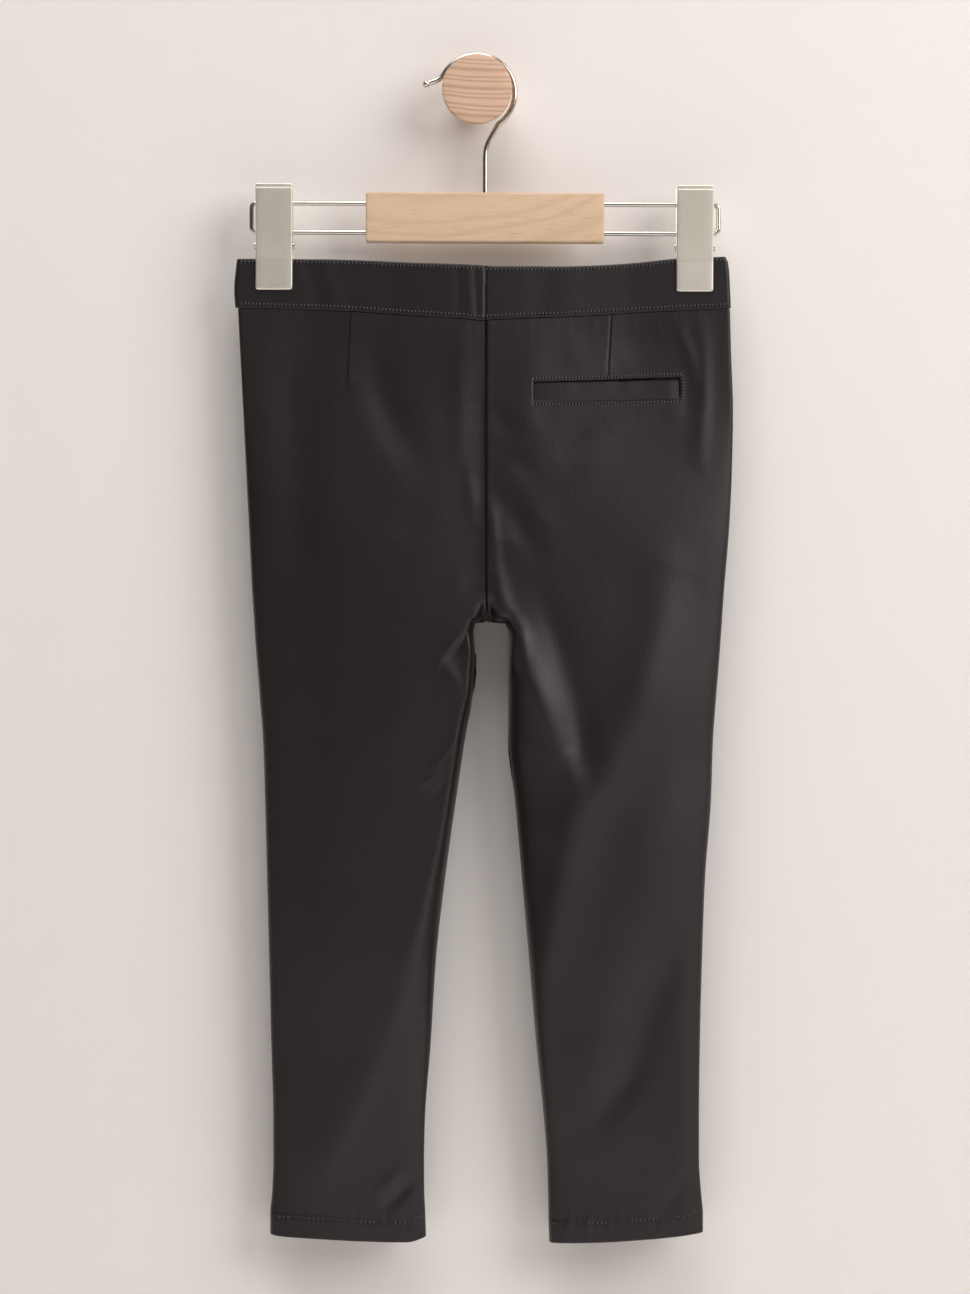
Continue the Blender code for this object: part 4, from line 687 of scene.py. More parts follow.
def makeNode(tree, kind, settings=None, **values):
    # A node with its settings, and its inputs set to numbers or joined to sockets; _ stands for a space.
    node = tree.nodes.new(kind)
    for key, value in (settings or {}).items():
        setattr(node, key, value)
    for key, value in values.items():
        name = int(key[5:]) if key.startswith("input") else key.replace("_", " ")
        feed(tree, node.inputs[name], value)
    return node


def calculate(tree, operation, first, second=0.0):
    return makeNode(tree, "ShaderNodeMath", {"operation": operation}, input0=first, input1=second).outputs[0]


def plus(tree, first, second):
    return calculate(tree, "ADD", first, second)


def minus(tree, first, second):
    return calculate(tree, "SUBTRACT", first, second)


def times(tree, first, second):
    return calculate(tree, "MULTIPLY", first, second)


def newGroup(name, inputs, outputs):
    # An empty node group with its named sockets: {name: (kind, value)}.
    group = bpy.data.node_groups.new(name, "ShaderNodeTree")
    for key, (kind, value) in inputs.items():
        socket = group.interface.new_socket(name=key, in_out="INPUT", socket_type="NodeSocket" + kind)
        if value is not None:
            socket.default_value = value
    for key, kind in outputs.items():
        group.interface.new_socket(name=key, in_out="OUTPUT", socket_type="NodeSocket" + kind)
    return group, group.nodes.new("NodeGroupInput").outputs, group.nodes.new("NodeGroupOutput").inputs


def stretchedNoise(tree, vector, scale, detail=2.0, roughness=0.5):
    # Noise with its own scale along each axis.
    spread = makeNode(tree, "ShaderNodeVectorMath", {"operation": "MULTIPLY"}, input0=vector, input1=scale)
    return makeNode(tree, "ShaderNodeTexNoise", None, Vector=spread.outputs[0], Scale=1.0, Detail=detail,
                    Roughness=roughness).outputs["Fac"]


def centred(tree, value, strength):
    # A value round one half becomes one round nothing, times the strength.
    return times(tree, minus(tree, value, 0.5), strength)


def objectPlace(tree):
    return makeNode(tree, "ShaderNodeTexCoord").outputs["Object"]


def weaveGroup():
    # Fine twill of two crossing waves, uneven yarns along the warp, and a broad cloudiness.
    group, given, put = newGroup("stretchTwill", {
        "Lengths": ("Vector", None), "Ribs per metre": ("Float", 1500.0), "Slub": ("Float", 0.3),
        "Cloud": ("Float", 0.12), "Twill": ("Float", 0.1),
    }, {"Shade": "Float", "Height": "Float", "Roughness": "Float"})
    apart = makeNode(group, "ShaderNodeSeparateXYZ", None, Vector=given["Lengths"]).outputs
    turns = times(group, given["Ribs per metre"], 2.0 * math.pi)
    slope = plus(group, apart["X"], times(group, apart["Y"], 0.62))
    ribs = calculate(group, "SINE", times(group, slope, turns))
    weft = calculate(group, "SINE", times(group, times(group, apart["Y"], turns), 1.4))
    yarns = stretchedNoise(group, given["Lengths"], (1500.0, 170.0, 1.0), 2.0)
    flecks = stretchedNoise(group, given["Lengths"], (900.0, 60.0, 1.0), 1.0)
    clouds = stretchedNoise(group, given["Lengths"], (17.0, 11.0, 1.0), 3.0)
    weave = times(group, plus(group, ribs, times(group, weft, 0.5)), 0.5)
    uneven = plus(group, centred(group, yarns, 1.0), centred(group, flecks, 0.8))
    slub = times(group, uneven, given["Slub"])
    cloud = times(group, centred(group, clouds, 1.0), given["Cloud"])
    shade = plus(group, plus(group, slub, cloud), times(group, weave, given["Twill"]))
    group.links.new(plus(group, shade, 0.5), put["Shade"])
    group.links.new(plus(group, times(group, weave, 0.25), times(group, slub, 4.0)), put["Height"])
    group.links.new(minus(group, 0.5, times(group, shade, 0.6)), put["Roughness"])
    return group


def grainGroup():
    # Growth rings round a far axis, bent by broad noise, with short pores stretched along the grain.
    group, given, put = newGroup("woodGrain", {
        "Place": ("Vector", None), "Ring width": ("Float", 0.003), "Pores": ("Float", 0.5),
        "Bend": ("Float", 0.004),
    }, {"Rings": "Float", "Pores": "Float", "Height": "Float"})
    apart = makeNode(group, "ShaderNodeSeparateXYZ", None, Vector=given["Place"]).outputs
    bend = centred(group, stretchedNoise(group, given["Place"], (14.0, 30.0, 60.0), 2.0), 2.0)
    bent = plus(group, apart["Z"], times(group, bend, given["Bend"]))
    bow = times(group, times(group, apart["X"], apart["X"]), grainWave["bow"])
    count = calculate(group, "DIVIDE", plus(group, bent, bow), given["Ring width"])
    turn = times(group, count, 2.0 * math.pi)
    sway = calculate(group, "SINE", times(group, turn, grainWave["sway"]))
    wave = calculate(group, "SINE", plus(group, turn, times(group, sway, grainWave["swayStrength"])))
    rings = calculate(group, "POWER", plus(group, times(group, wave, 0.5), 0.5), grainWave["sharpness"])
    pores = stretchedNoise(group, given["Place"], (90.0, 900.0, 1900.0), 2.0)
    opened = calculate(group, "MAXIMUM", minus(group, pores, grainWave["poreFrom"]), 0.0)
    pore = times(group, times(group, opened, grainWave["poreSlope"]), given["Pores"])
    group.links.new(rings, put["Rings"])
    group.links.new(pore, put["Pores"])
    group.links.new(minus(group, times(group, rings, 0.3), pore), put["Height"])
    return group


def brushedGroup():
    # Long fine scratches along one axis over a slow unevenness.
    group, given, put = newGroup("brushedMetal", {
        "Place": ("Vector", None), "Scratches": ("Vector", (60.0, 60.0, 4000.0)), "Strength": ("Float", 1.0),
    }, {"Tone": "Float", "Height": "Float"})
    lines = stretchedNoise(group, given["Place"], given["Scratches"], 3.0)
    slow = stretchedNoise(group, given["Place"], (45.0, 45.0, 30.0), 2.0)
    tone = times(group, plus(group, centred(group, lines, 0.7), centred(group, slow, 0.6)), given["Strength"])
    group.links.new(plus(group, tone, 0.5), put["Tone"])
    group.links.new(lines, put["Height"])
    return group


groups = {"weave": weaveGroup(), "grain": grainGroup(), "brushed": brushedGroup()}


def newMaterial(name):
    made = bpy.data.materials.new(name)
    made.use_nodes = True
    return made, made.node_tree, made.node_tree.nodes["Principled BSDF"]


def groupNode(tree, key, **values):
    return makeNode(tree, "ShaderNodeGroup", {"node_tree": groups[key]}, **values)


def mixColours(tree, share, first, second):
    node = tree.nodes.new("ShaderNodeMix")
    node.data_type = "RGBA"
    for number, value in ((0, share), (6, first), (7, second)):
        feed(tree, node.inputs[number], value)
    return node.outputs[2]


def finishShader(tree, shader, colour, roughness, height, distance, strength=1.0):
    bump = makeNode(tree, "ShaderNodeBump", None, Strength=strength, Distance=distance, Height=height)
    tree.links.new(colour, shader.inputs["Base Color"])
    tree.links.new(roughness, shader.inputs["Roughness"])
    tree.links.new(bump.outputs[0], shader.inputs["Normal"])


cloth = {
    "dark": (0.0052, 0.0044, 0.0044, 1.0), "light": (0.0090, 0.0077, 0.0077, 1.0), "roughness": 0.29,
    "uneven": 0.3, "bump": 0.00004, "specular": 0.51, "specularTint": (1.0, 0.92, 0.93, 1.0),
}
thread = {
    "dark": (0.075, 0.071, 0.071, 1.0), "light": (0.150, 0.143, 0.142, 1.0),
    # dip: near-black colour that paints the shade in the hollows between stitches
    "paintedDipShade": (0.0015, 0.0013, 0.0013, 1.0), "twist": 900.0, "bump": 0.00004,
}
horn = {"dark": (0.012, 0.011, 0.011, 1.0), "light": (0.045, 0.041, 0.039, 1.0), "bump": 0.00003}


def clothMaterial(name):
    # Stretch twill on the piece's own lengths, so that the weave follows the cloth.
    made, tree, shader = newMaterial(name)
    lengths = makeNode(tree, "ShaderNodeUVMap", {"uv_map": "clothLengths"}).outputs["UV"]
    weave = groupNode(tree, "weave", Lengths=lengths)
    colour = mixColours(tree, weave.outputs["Shade"], cloth["dark"], cloth["light"])
    roughness = plus(tree, times(tree, weave.outputs["Roughness"], cloth["uneven"]), cloth["roughness"])
    finishShader(tree, shader, colour, roughness, weave.outputs["Height"], cloth["bump"])
    shader.inputs["Specular IOR Level"].default_value = cloth["specular"]
    shader.inputs["Specular Tint"].default_value = cloth["specularTint"]
    return made


def threadMaterial():
    # Twisted sewing thread, a little glossier than the cloth. Where the dip mask is 1 the colour is near black
    # and matt: painted shade for the hollows between stitches.
    made, tree, shader = newMaterial("sewingThread")
    twist = makeNode(tree, "ShaderNodeTexWave", {"bands_direction": "DIAGONAL"}, Vector=objectPlace(tree),
                     Scale=thread["twist"], Distortion=1.0).outputs["Fac"]
    paintedDipShade = makeNode(tree, "ShaderNodeAttribute", {"attribute_name": "paintedDipShade"}).outputs["Fac"]
    colour = mixColours(tree, paintedDipShade, mixColours(tree, twist, thread["dark"], thread["light"]), thread["paintedDipShade"])
    roughness = plus(tree, times(tree, twist, 0.15), plus(tree, times(tree, paintedDipShade, 0.4), 0.4))
    finishShader(tree, shader, colour, roughness, twist, thread["bump"])
    return made


def woodMaterial(name, spec):
    # Growth rings and pores over a pale base, matt.
    made, tree, shader = newMaterial(name)
    moved = makeNode(tree, "ShaderNodeMapping", None, Vector=objectPlace(tree), Location=spec["move"],
                     Rotation=(0.0, spec["tilt"], 0.0))
    grain = groupNode(tree, "grain", Place=moved.outputs[0], Ring_width=spec["ring"], Pores=spec["pores"],
                      Bend=spec["bend"])
    rings = times(tree, grain.outputs["Rings"], spec["contrast"])
    base = mixColours(tree, rings, spec["light"], spec["dark"])
    colour = mixColours(tree, grain.outputs["Pores"], base, spec["pore"])
    roughness = plus(tree, times(tree, grain.outputs["Rings"], 0.1), 0.5)
    finishShader(tree, shader, colour, roughness, grain.outputs["Height"], 0.00012, 0.6)
    return made


def metalMaterial(name, spec):
    # Metal whose brushed tone sets both its colour and its roughness.
    made, tree, shader = newMaterial(name)
    brushed = groupNode(tree, "brushed", Place=objectPlace(tree), Scratches=spec["scratches"],
                        Strength=spec["strength"])
    tone = brushed.outputs["Tone"]
    colour = mixColours(tree, tone, spec["dark"], spec["light"])
    roughness = plus(tree, times(tree, tone, spec["uneven"]), spec["roughness"])
    finishShader(tree, shader, colour, roughness, brushed.outputs["Height"], 0.00001, 0.5)
    shader.inputs["Metallic"].default_value = 1.0
    return made


def buttonMaterial():
    # Moulded dark plastic with a faint horn-like cloud.
    made, tree, shader = newMaterial("buttonPlastic")
    cloud = stretchedNoise(tree, objectPlace(tree), (160.0, 160.0, 420.0), 3.0)
    colour = mixColours(tree, cloud, horn["dark"], horn["light"])
    finishShader(tree, shader, colour, plus(tree, times(tree, cloud, 0.2), 0.22), cloud, horn["bump"])
    return made


woods = {
    "bar": {
        "light": (0.665, 0.475, 0.325, 1.0), "dark": (0.575, 0.385, 0.245, 1.0),
        "pore": (0.42, 0.27, 0.17, 1.0), "ring": 0.011, "pores": 0.4, "bend": 0.006, "contrast": 0.55,
        "tilt": 0.03, "move": (0.02, 0.0, 0.11),
    },
    "knob": {
        "light": (0.665, 0.445, 0.315, 1.0), "dark": (0.435, 0.265, 0.175, 1.0),
        "pore": (0.36, 0.22, 0.15, 1.0), "ring": 0.0033, "pores": 0.25, "bend": 0.0016, "contrast": 0.8,
        "tilt": -0.06, "move": (0.0, 0.0, 0.03),
    },
}
metals = {
    "wire": {
        "dark": (0.50, 0.47, 0.41, 1.0), "light": (0.78, 0.74, 0.66, 1.0), "roughness": 0.14, "uneven": 0.16,
        "scratches": (900.0, 900.0, 900.0), "strength": 0.5,
    },
    "plate": {
        "dark": (0.77, 0.72, 0.63, 1.0), "light": (0.94, 0.895, 0.80, 1.0), "roughness": 0.42, "uneven": 0.10,
        "scratches": (1800.0, 60.0, 60.0), "strength": 0.7,
    },
}
finishes = {
    "thread": threadMaterial(), "button": buttonMaterial(),
    "barWood": woodMaterial("barWood", woods["bar"]), "knobWood": woodMaterial("knobWood", woods["knob"]),
    "wire": metalMaterial("brightWire", metals["wire"]),
    "plate": metalMaterial("satinPlate", metals["plate"]),
}
print("materials made")

# Camera

camera = bpy.data.cameras.new("camera")
cameraObject = bpy.data.objects.new("camera", camera)
bpy.context.scene.collection.objects.link(cameraObject)
viewDistance = lens["fromWall"] + garment["hangY"]
halfHeight = photo["height"] / 2.0 * photo["pixel"]
camera.sensor_width = lens["sensor"]
camera.lens = lens["sensor"] / 2.0 * viewDistance / halfHeight
camera.clip_end = 100.0
besideKnob = (photo["width"] / 2.0 - photo["knobX"]) * photo["pixel"]
underKnob = (photo["knobY"] - photo["height"] / 2.0) * photo["pixel"]
cameraObject.location = (besideKnob * mm, -lens["fromWall"] * mm, underKnob * mm)
cameraObject.rotation_euler = (math.pi / 2.0, 0.0, 0.0)
bpy.context.scene.camera = cameraObject

# Panels

panelShape = {
    "back": {"columns": 132, "rows": 318},
    "front": {"columns": 92, "rows": 236},
    "bendPower": 12,                        # how late across a panel its columns bend on to the inseam
    "waistReach": 90.0, "hemReach": 24.0,   # how far from the seam and the hem the rows start to follow them
    "sharp": 48.0,
}


def columnPlaces(side, face):
    # Columns crowd at the turned edges, at the centre seam, at the dart and at the pocket's ends.
    places = [(0.0, 0.004, 9.0), (0.0, 0.018, 3.5), (1.0, 0.004, 7.0), (1.0, 0.02, 3.5)]
    if face == "back":
        dart = darts[side]
        edge = sectionAt("side" + capital(side), dart["z0"])
        middle = ((dart["x0"] + dart["x1"]) / 2.0 - edge) / (garment["centreX"] - edge)
        places.append((float(middle), 0.014, 2.6))
        if side == "right":
            for x in (pocket["x0"], pocket["x1"]):
                places.append((float((x - edge) / (garment["centreX"] - edge)), 0.009, 3.0))
    return places


def rowPlaces(face, side):
    # Rows crowd under the waistband, at the pocket's long edges, at the crotch and at the hem.
    drop = garment["topZ"] - garment["lowZ"]
    crotch = (garment["topZ"] - garment["crotchZ"]) / drop
    places = [(0.0, 0.006, 3.0), (crotch, 0.006, 4.0), (crotch + 0.01, 0.02, 1.2)]
    places += [(0.976, 0.004, 3.0), (1.0, 0.003, 2.0)]
    if face == "back" and side == "right":
        for edge in (pocket["height"] / 2.0 + 1.0, -pocket["height"] / 2.0 - 0.4):
            places.append(((garment["topZ"] - pocket["z0"] - 1.2 - edge) / drop, 0.0055, 3.2))
    return places


def acrossPanel(side, share, z):
    # A panel's columns: even shares of the form's width, and the rest of the way to the inseam itself times
    # the share's twelfth power, so that only the last few bend.
    outer = sectionAt("side" + capital(side), z)
    eased = formEdge(side, z)
    inner = sectionAt("inner" + capital(side), z)
    return outer + (eased - outer) * share + (inner - eased) * share ** panelShape["bendPower"]


def panelGrid(side, face):
    # Points of a panel's outer face: across from the side seam, down from the waist seam to the hem.
    shape = panelShape[face]
    share = crowded(shape["columns"], columnPlaces(side, face))[None, :]
    down = crowded(shape["rows"], rowPlaces(face, side))
    rowZ = garment["topZ"] + (garment["lowZ"] - garment["topZ"]) * down
    rowZ[np.argmin(np.abs(rowZ - garment["crotchZ"]))] = garment["crotchZ"]
    z = np.repeat(rowZ[:, None], shape["columns"], axis=1)
    x = acrossPanel(side, share, z)
    topShift = waistLine("seam", face, x) - garment["bandGap"] - garment["topZ"]
    lowShift = hemLine(side, x) + hem["fold"] - garment["lowZ"]
    high, low = panelShape["waistReach"], panelShape["hemReach"]
    z = z + topShift * smoothSteps((z - garment["topZ"] + high) / high)
    z = z + lowShift * smoothSteps((garment["lowZ"] + low - z) / low)
    x = acrossPanel(side, share, z)
    return np.stack([x, panelY(side, face, x, z), z], axis=2), rowZ


def hemRows(points, normal):
    # The cloth runs on round a half circle under the hem, and up behind itself as the turned-up layer.
    radius = hem["fold"]
    last, outward = points[-1], normal[-1]
    centre = last - radius * outward
    turn = np.linspace(0.0, math.pi, 8)[1:-1, None, None]
    low = np.array([0.0, 0.0, -1.0])
    bend = centre[None] + radius * (np.cos(turn) * outward[None] + np.sin(turn) * low)
    layer = points - 2.0 * radius * normal
    reach = points[:, :, 2].mean(axis=1) - points[-1, :, 2].mean() < hem["turnUp"]
    return np.concatenate([bend, layer[reach][::-1][::2]])


def buildPanel(side, face):
    # The outer face with its hem turned up. Its rims face sideways, and its centre keeps the seam's gap.
    points, rowZ = panelGrid(side, face)
    normal = gridNormals(points, faceSign(face))
    normal[:, 0] = (sideSign(side), 0.0, 0.0)
    inLeg = rowZ <= garment["crotchZ"]
    normal[inLeg, -1] = (-sideSign(side), 0.0, 0.0)
    points[~inLeg, -1, 0] += sideSign(side) * garment["seamGap"]
    points = np.concatenate([points, hemRows(points, unit(normal))])
    flip = (side == "left") == (face == "back")
    return clothSheet(face + capital(side) + "Panel", points, walkedLengths(points), garment["cloth"], flip,
                      sharp=panelShape["sharp"])


for face in ("back", "front"):
    for side in ("left", "right"):
        place(buildPanel(side, face), "trouser_cloth", face + "_" + side)
        print("panel", face, side, "made")

# Waistband

bandShape = {
    "down": 15, "turn": 7, "backColumns": 150, "frontColumns": 96, "sharp": 60.0,
    "seamDip": 0.8, "seamWide": 0.8,                      # the back's groove at the centre seam
    "sideFade": 8.0, "sideEase": 80.0,                    # where the relief starts and the columns are drawn in
    "tip": 0.3,                                           # share that is kept of how the normals tip up or down
    "lowWide": 0.55, "highWide": 0.5, "highShare": 0.7,   # how the stitched rows sink in
    "lowRipple": 3.0, "highRipple": 2.6,                  # how far the ripple beside them reaches
}


def bandEdge(side, z):
    return curveThrough(bandSides["z"], bandSides[side], z)


def bandDepth(side, face, x, z):
    # Half thickness of the waistband: turned at the side, pinched under the clips, open at its middle, with
    # the gathers and creases of the back and the step of the lapped front.
    centre = garment["centreX"]
    pastCentre = (x - centre) * sideSign(side) < 0.0
    other = "right" if side == "left" else "left"
    edge = np.where(pastCentre, bandEdge(other, z), bandEdge(side, z))
    share = np.clip((x - edge) / (centre - edge), 0.0, 1.0)
    depth = turnedEdge(np.abs(x - edge), garment["bandRadius"]) + garment["waistDepth"] * pinched(share)
    top, seam = waistLine("top", face, x), waistLine("seam", face, x)
    shareDown = np.clip((top - z) / (top - seam), 0.0, 1.0)
    inner = smoothSteps(np.abs(x - edge) / bandShape["sideFade"])
    if face == "back":
        creased = creaseHeight(gathers, x, shareDown) + creaseHeight(bandCreases, x, shareDown)
        depth = depth + creased * inner
        depth = depth - bandShape["seamDip"] * np.exp(-((x - centre) / bandShape["seamWide"]) ** 2)
    elif side == "left":
        lapped = smoothSteps((x - centre - lap["stepFrom"]) / (lap["stepTo"] - lap["stepFrom"]))
        depth = depth + (garment["bandCloth"] + lap["clear"]) * lapped
    fromLow, fromHigh = z - seam - stitch["overSeam"], top - z - stitch["underTop"]
    rows = (np.exp(-(fromLow / bandShape["lowWide"]) ** 2)
            + bandShape["highShare"] * np.exp(-(fromHigh / bandShape["highWide"]) ** 2))
    near = (np.exp(-(fromLow / bandShape["lowRipple"]) ** 2)
            + np.exp(-(fromHigh / bandShape["highRipple"]) ** 2))
    ripple = stitch["ripple"] * wander(x, stitch["rippleLength"], 0.4) * near
    return depth + (ripple - stitch["rowSink"] * rows) * inner


def bandSurface(side, face, columns, shareDown):
    # Points of the outer face, from the top edge down to the seam, drawn in or out to follow the side edge.
    x = np.repeat(columns[None, :], len(shareDown), axis=0)
    half = garment["bandCloth"] / 2.0
    top = waistLine("top", face, x) - half
    seam = waistLine("seam", face, x) + garment["bandGap"] + half
    z = top + (seam - top) * shareDown[:, None]
    eased = np.clip(1.0 - np.abs(x - columns[0]) / bandShape["sideEase"], 0.0, 1.0)
    x = x + (bandEdge(side, z) - columns[0]) * eased
    depth = np.maximum(bandDepth(side, face, x, z), garment["seamGap"])
    return np.stack([x, garment["hangY"] + faceSign(face) * depth, z], axis=2)


def buildBand(side, face):
    # A flat strip with its long edges folded: outer face, half circle, inner face, half circle.
    start = garment["side" + capital(side)]
    end = garment["centreX"] + sideSign(side) * garment["seamGap"]
    if face == "front":
        end = garment["centreX"] + (lap["overEnd"] if side == "left" else lap["underEnd"])
    places = [(0.0, 0.006, 8.0), (0.0, 0.03, 3.0), (1.0, 0.01, 3.0)]
    if face == "back" and side == "left":
        places.append((0.94, 0.06, 1.6))
    columns = start + (end - start) * crowded(bandShape[face + "Columns"], places)
    shareDown = np.linspace(0.0, 1.0, bandShape["down"])
    outer = bandSurface(side, face, columns, shareDown)
    normal = gridNormals(outer, faceSign(face))
    normal[:, 0] = (sideSign(side), 0.0, 0.0)
    normal[:, -1, 0] = 0.0
    normal[:, :, 2] *= bandShape["tip"]
    normal = unit(normal)
    thick = garment["bandCloth"]
    inner = outer - thick * normal
    turn = np.linspace(0.0, math.pi, bandShape["turn"] + 2)[1:-1, None, None]
    up = np.array([0.0, 0.0, 1.0])
    middle = (outer + inner) / 2.0
    lowBend = middle[-1][None] + thick / 2.0 * (np.cos(turn) * normal[-1][None] - np.sin(turn) * up)
    topBend = middle[0][None] - thick / 2.0 * (np.cos(turn) * normal[0][None] - np.sin(turn) * up)
    ring = np.concatenate([outer, lowBend, inner[::-1], topBend])
    points = ring.transpose(1, 0, 2)
    walked = np.linalg.norm(np.diff(ring, axis=0, append=ring[:1]), axis=2).mean(axis=1)
    down = np.concatenate([[0.0], np.cumsum(walked)[:-1]])
    uv = np.stack(np.broadcast_arrays(points[:, :, 0], -down[None, :]), axis=2)
    name = face + capital(side) + "Band"
    flip = (side == "left") != (face == "back")
    return ringPiece(name, points, clothMaterial(name + "Cloth"), flip=flip, sharp=bandShape["sharp"], uv=uv)


bands = {}
for face in ("back", "front"):
    for side in ("left", "right"):
        made = buildBand(side, face)
        bands[face + capital(side)] = place(made, "trouser_cloth", "waistband_" + face + "_" + side)
print("waistband made")

# Pocket welt and fly

def buildWelt():
    # The welt's strip: its own grid over the sunk floor of the pocket. It laps over the opening's lower edge,
    # falls away as exp(-d / fallOver) towards the inner end and eases down at the outer one.
    across = crowded(96, [(0.0, 0.01, 3.0), (1.0, 0.01, 3.0)])[None, :]
    down = np.linspace(0.5, -0.5, 18)[:, None]
    start, over = pocket["x0"] - pocket["innerLap"], pocket["overlap"]
    x = start + (pocket["x1"] - start) * across + 0.0 * down
    z = pocketMiddle(x) + pocket["height"] * down - over * (0.5 - down)
    floor = panelDepth("right", "back", x, z) - pocketHeight(x, z)
    uneven = pocket["unevenness"] * wander(x, pocket["unevenLength"], 0.5)
    sag = (pocket["sag"] * np.sin(math.pi * across) + uneven) * (0.5 + down)
    fall = pocket["fall"] * np.exp((pocket["x0"] - x) / pocket["fallOver"])
    eased = pocket["proud"] * smoothSteps((x - pocket["x1"]) / pocket["easeOver"] + 1.0)
    depth = floor + pocket["proud"] - sag - fall - eased
    points = np.stack([x, garment["hangY"] - depth, z], axis=2)
    uv = walkedLengths(points) + np.array([300.0, 40.0])
    return clothSheet("pocketWelt", points, uv, pocket["weltCloth"], flip=True)


def flyOutline():
    # Straight down beside the centre front, then a quarter ellipse in to the seam.
    top = waistLine("seam", "front", garment["centreX"]) - fly["inset"]
    low = top - fly["drop"]
    straight = np.linspace(top, low + fly["curve"], 60)
    bend = np.radians(np.linspace(3.0, 88.0, 30))
    drop = np.concatenate([straight, low + fly["curve"] * (1.0 - np.sin(bend))])
    width = np.concatenate([np.full(60, fly["width"]), fly["width"] * np.cos(bend)])
    return drop, width


def buildFly():
    # It lies on the left front, and its free edge rises as a square root over its first 2 mm.
    drop, width = flyOutline()
    across = crowded(40, [(0.0, 0.03, 3.0), (1.0, 0.02, 3.0)])[None, :]
    x = garment["centreX"] - fly["inset"] - width[:, None] * (1.0 - across)
    z = np.repeat(drop[:, None], 40, axis=1)
    z[0] = waistLine("seam", "front", x[0]) - fly["inset"]
    near = np.clip((x - x[:, :1]) / fly["edgeWidth"], 0.0, 1.0)
    depth = panelDepth("left", "front", x, z) + fly["over"] + fly["edgeRise"] * np.sqrt(near)
    points = np.stack([x, garment["hangY"] + depth, z], axis=2)
    uv = walkedLengths(points) + np.array([120.0, -300.0])
    return clothSheet("flyPlacket", points, uv, fly["cloth"], flip=False)


welt = place(buildWelt(), "trouser_cloth", "pocket_welt")
placket = place(buildFly(), "trouser_cloth", "fly_placket")
print("pocket welt and fly made")

# Stitches

def stepAlong(x, z, pitch):
    # Even steps along a line given by many points: the places and their count follow from its length.
    walked = np.concatenate([[0.0], np.cumsum(np.hypot(np.diff(x), np.diff(z)))])
    at = np.arange(pitch / 2.0, walked[-1], pitch)
    return np.interp(at, walked, x), np.interp(at, walked, z)


def stitchFrames(depthOf, face, x, z, middle):
    # Place and outward normal on a surface that is given by its depth from the middle plane.
    sign, step = faceSign(face), 0.3
    depth = depthOf(x, z)
    slopeX = (depthOf(x + step, z) - depthOf(x - step, z)) / (2.0 * step)
    slopeZ = (depthOf(x, z + step) - depthOf(x, z - step)) / (2.0 * step)
    place3 = np.stack([x, middle + sign * depth, z], axis=1)
    normal = unit(np.stack([-slopeX, np.full_like(x, sign), -slopeZ], axis=1))
    return place3, normal


def stitchRow(depthOf, face, x, z, middle=None, pitch=None, long=None, slant=None):
    # One stitch for each step along the line, as (place, direction, normal, length, slant).
    middle = garment["hangY"] if middle is None else middle
    pitch = stitch["pitch"] if pitch is None else pitch
    x, z = stepAlong(np.asarray(x, dtype=float), np.asarray(z, dtype=float), pitch)
    middle = middle(z) if callable(middle) else middle
    place3, normal = stitchFrames(depthOf, face, x, z, middle)
    ahead = unit(np.gradient(place3, axis=0))
    slants = np.full(len(x), math.radians(stitch["slant"] if slant is None else slant))
    return place3, ahead, normal, np.full(len(x), stitch["long"] if long is None else long), slants


def beads(place3, ahead, normal, long, slant, wide, tall, rise):
    # Short six-sided beads, thinner at their ends, raised in their middle like an arch and turned by the
    # slant.
    aside = unit(np.cross(normal, ahead))
    ahead = ahead * np.cos(slant)[:, None] + aside * np.sin(slant)[:, None]
    sideways = unit(np.cross(normal, ahead))
    normal = np.cross(ahead, sideways)
    station = np.array([-0.5, -0.32, 0.32, 0.5])
    thin = np.array([0.35, 1.0, 1.0, 0.35])
    lift = np.array([-0.10, 1.0, 1.0, -0.10]) * rise
    turn = np.linspace(0.0, 2.0 * math.pi, 6, endpoint=False)
    forward = ahead[:, None, None] * (station[None, :, None, None] * long[:, None, None, None])
    centre = place3[:, None, None] + forward + normal[:, None, None] * lift[None, :, None, None]
    ring = (sideways[:, None, None] * (wide * np.cos(turn))[None, None, :, None]
            + normal[:, None, None] * (tall * np.sin(turn))[None, None, :, None])
    return centre + ring * thin[None, :, None, None]


def stitchPiece(name, rows, radius=None, paintedShadeDips=True):
    # A bead for each stitch and, where the thread pulls the cloth in, a flat near-black bead between two
    # stitches: painted shade for that hollow.
    radius = stitch["radius"] if radius is None else radius
    parts, dark = [], []
    for place3, ahead, normal, long, slant in rows:
        parts.append(beads(place3, ahead, normal, long, slant, radius, radius, stitch["rise"]))
        dark.append(np.zeros(len(place3)))
        if paintedShadeDips:
            # Painted shade: flat near-black beads in the hollows between stitches.
            between = (place3[1:] + place3[:-1]) / 2.0
            short = np.full(len(between), stitch["shadeDipLong"])
            parts.append(beads(between, ahead[1:], unit(normal[1:] + normal[:-1]), short, slant[1:],
                               stitch["shadeDipWide"], stitch["shadeDipTall"], stitch["shadeDipRise"]))
            dark.append(np.ones(len(between)))
    points = np.concatenate(parts)
    rings, sides = points.shape[1:3]
    bead = gridFaces(rings, sides, wrapColumns=True)
    start = (np.arange(len(points)) * sides * rings)[:, None, None]
    faces = (start + bead[None]).reshape(-1, 4)
    caps = np.array([np.arange(sides)[::-1], (rings - 1) * sides + np.arange(sides)])
    capFaces = (start + caps[None]).reshape(-1, sides).tolist()
    piece = meshPiece(name, points, faces, finishes["thread"], extraFaces=capFaces)
    # The dip mask marks those beads for the painted-shade colour.
    shade = piece.data.attributes.new("paintedDipShade", "FLOAT", "POINT")
    shade.data.foreach_set("value", np.repeat(np.concatenate(dark), rings * sides))
    return piece


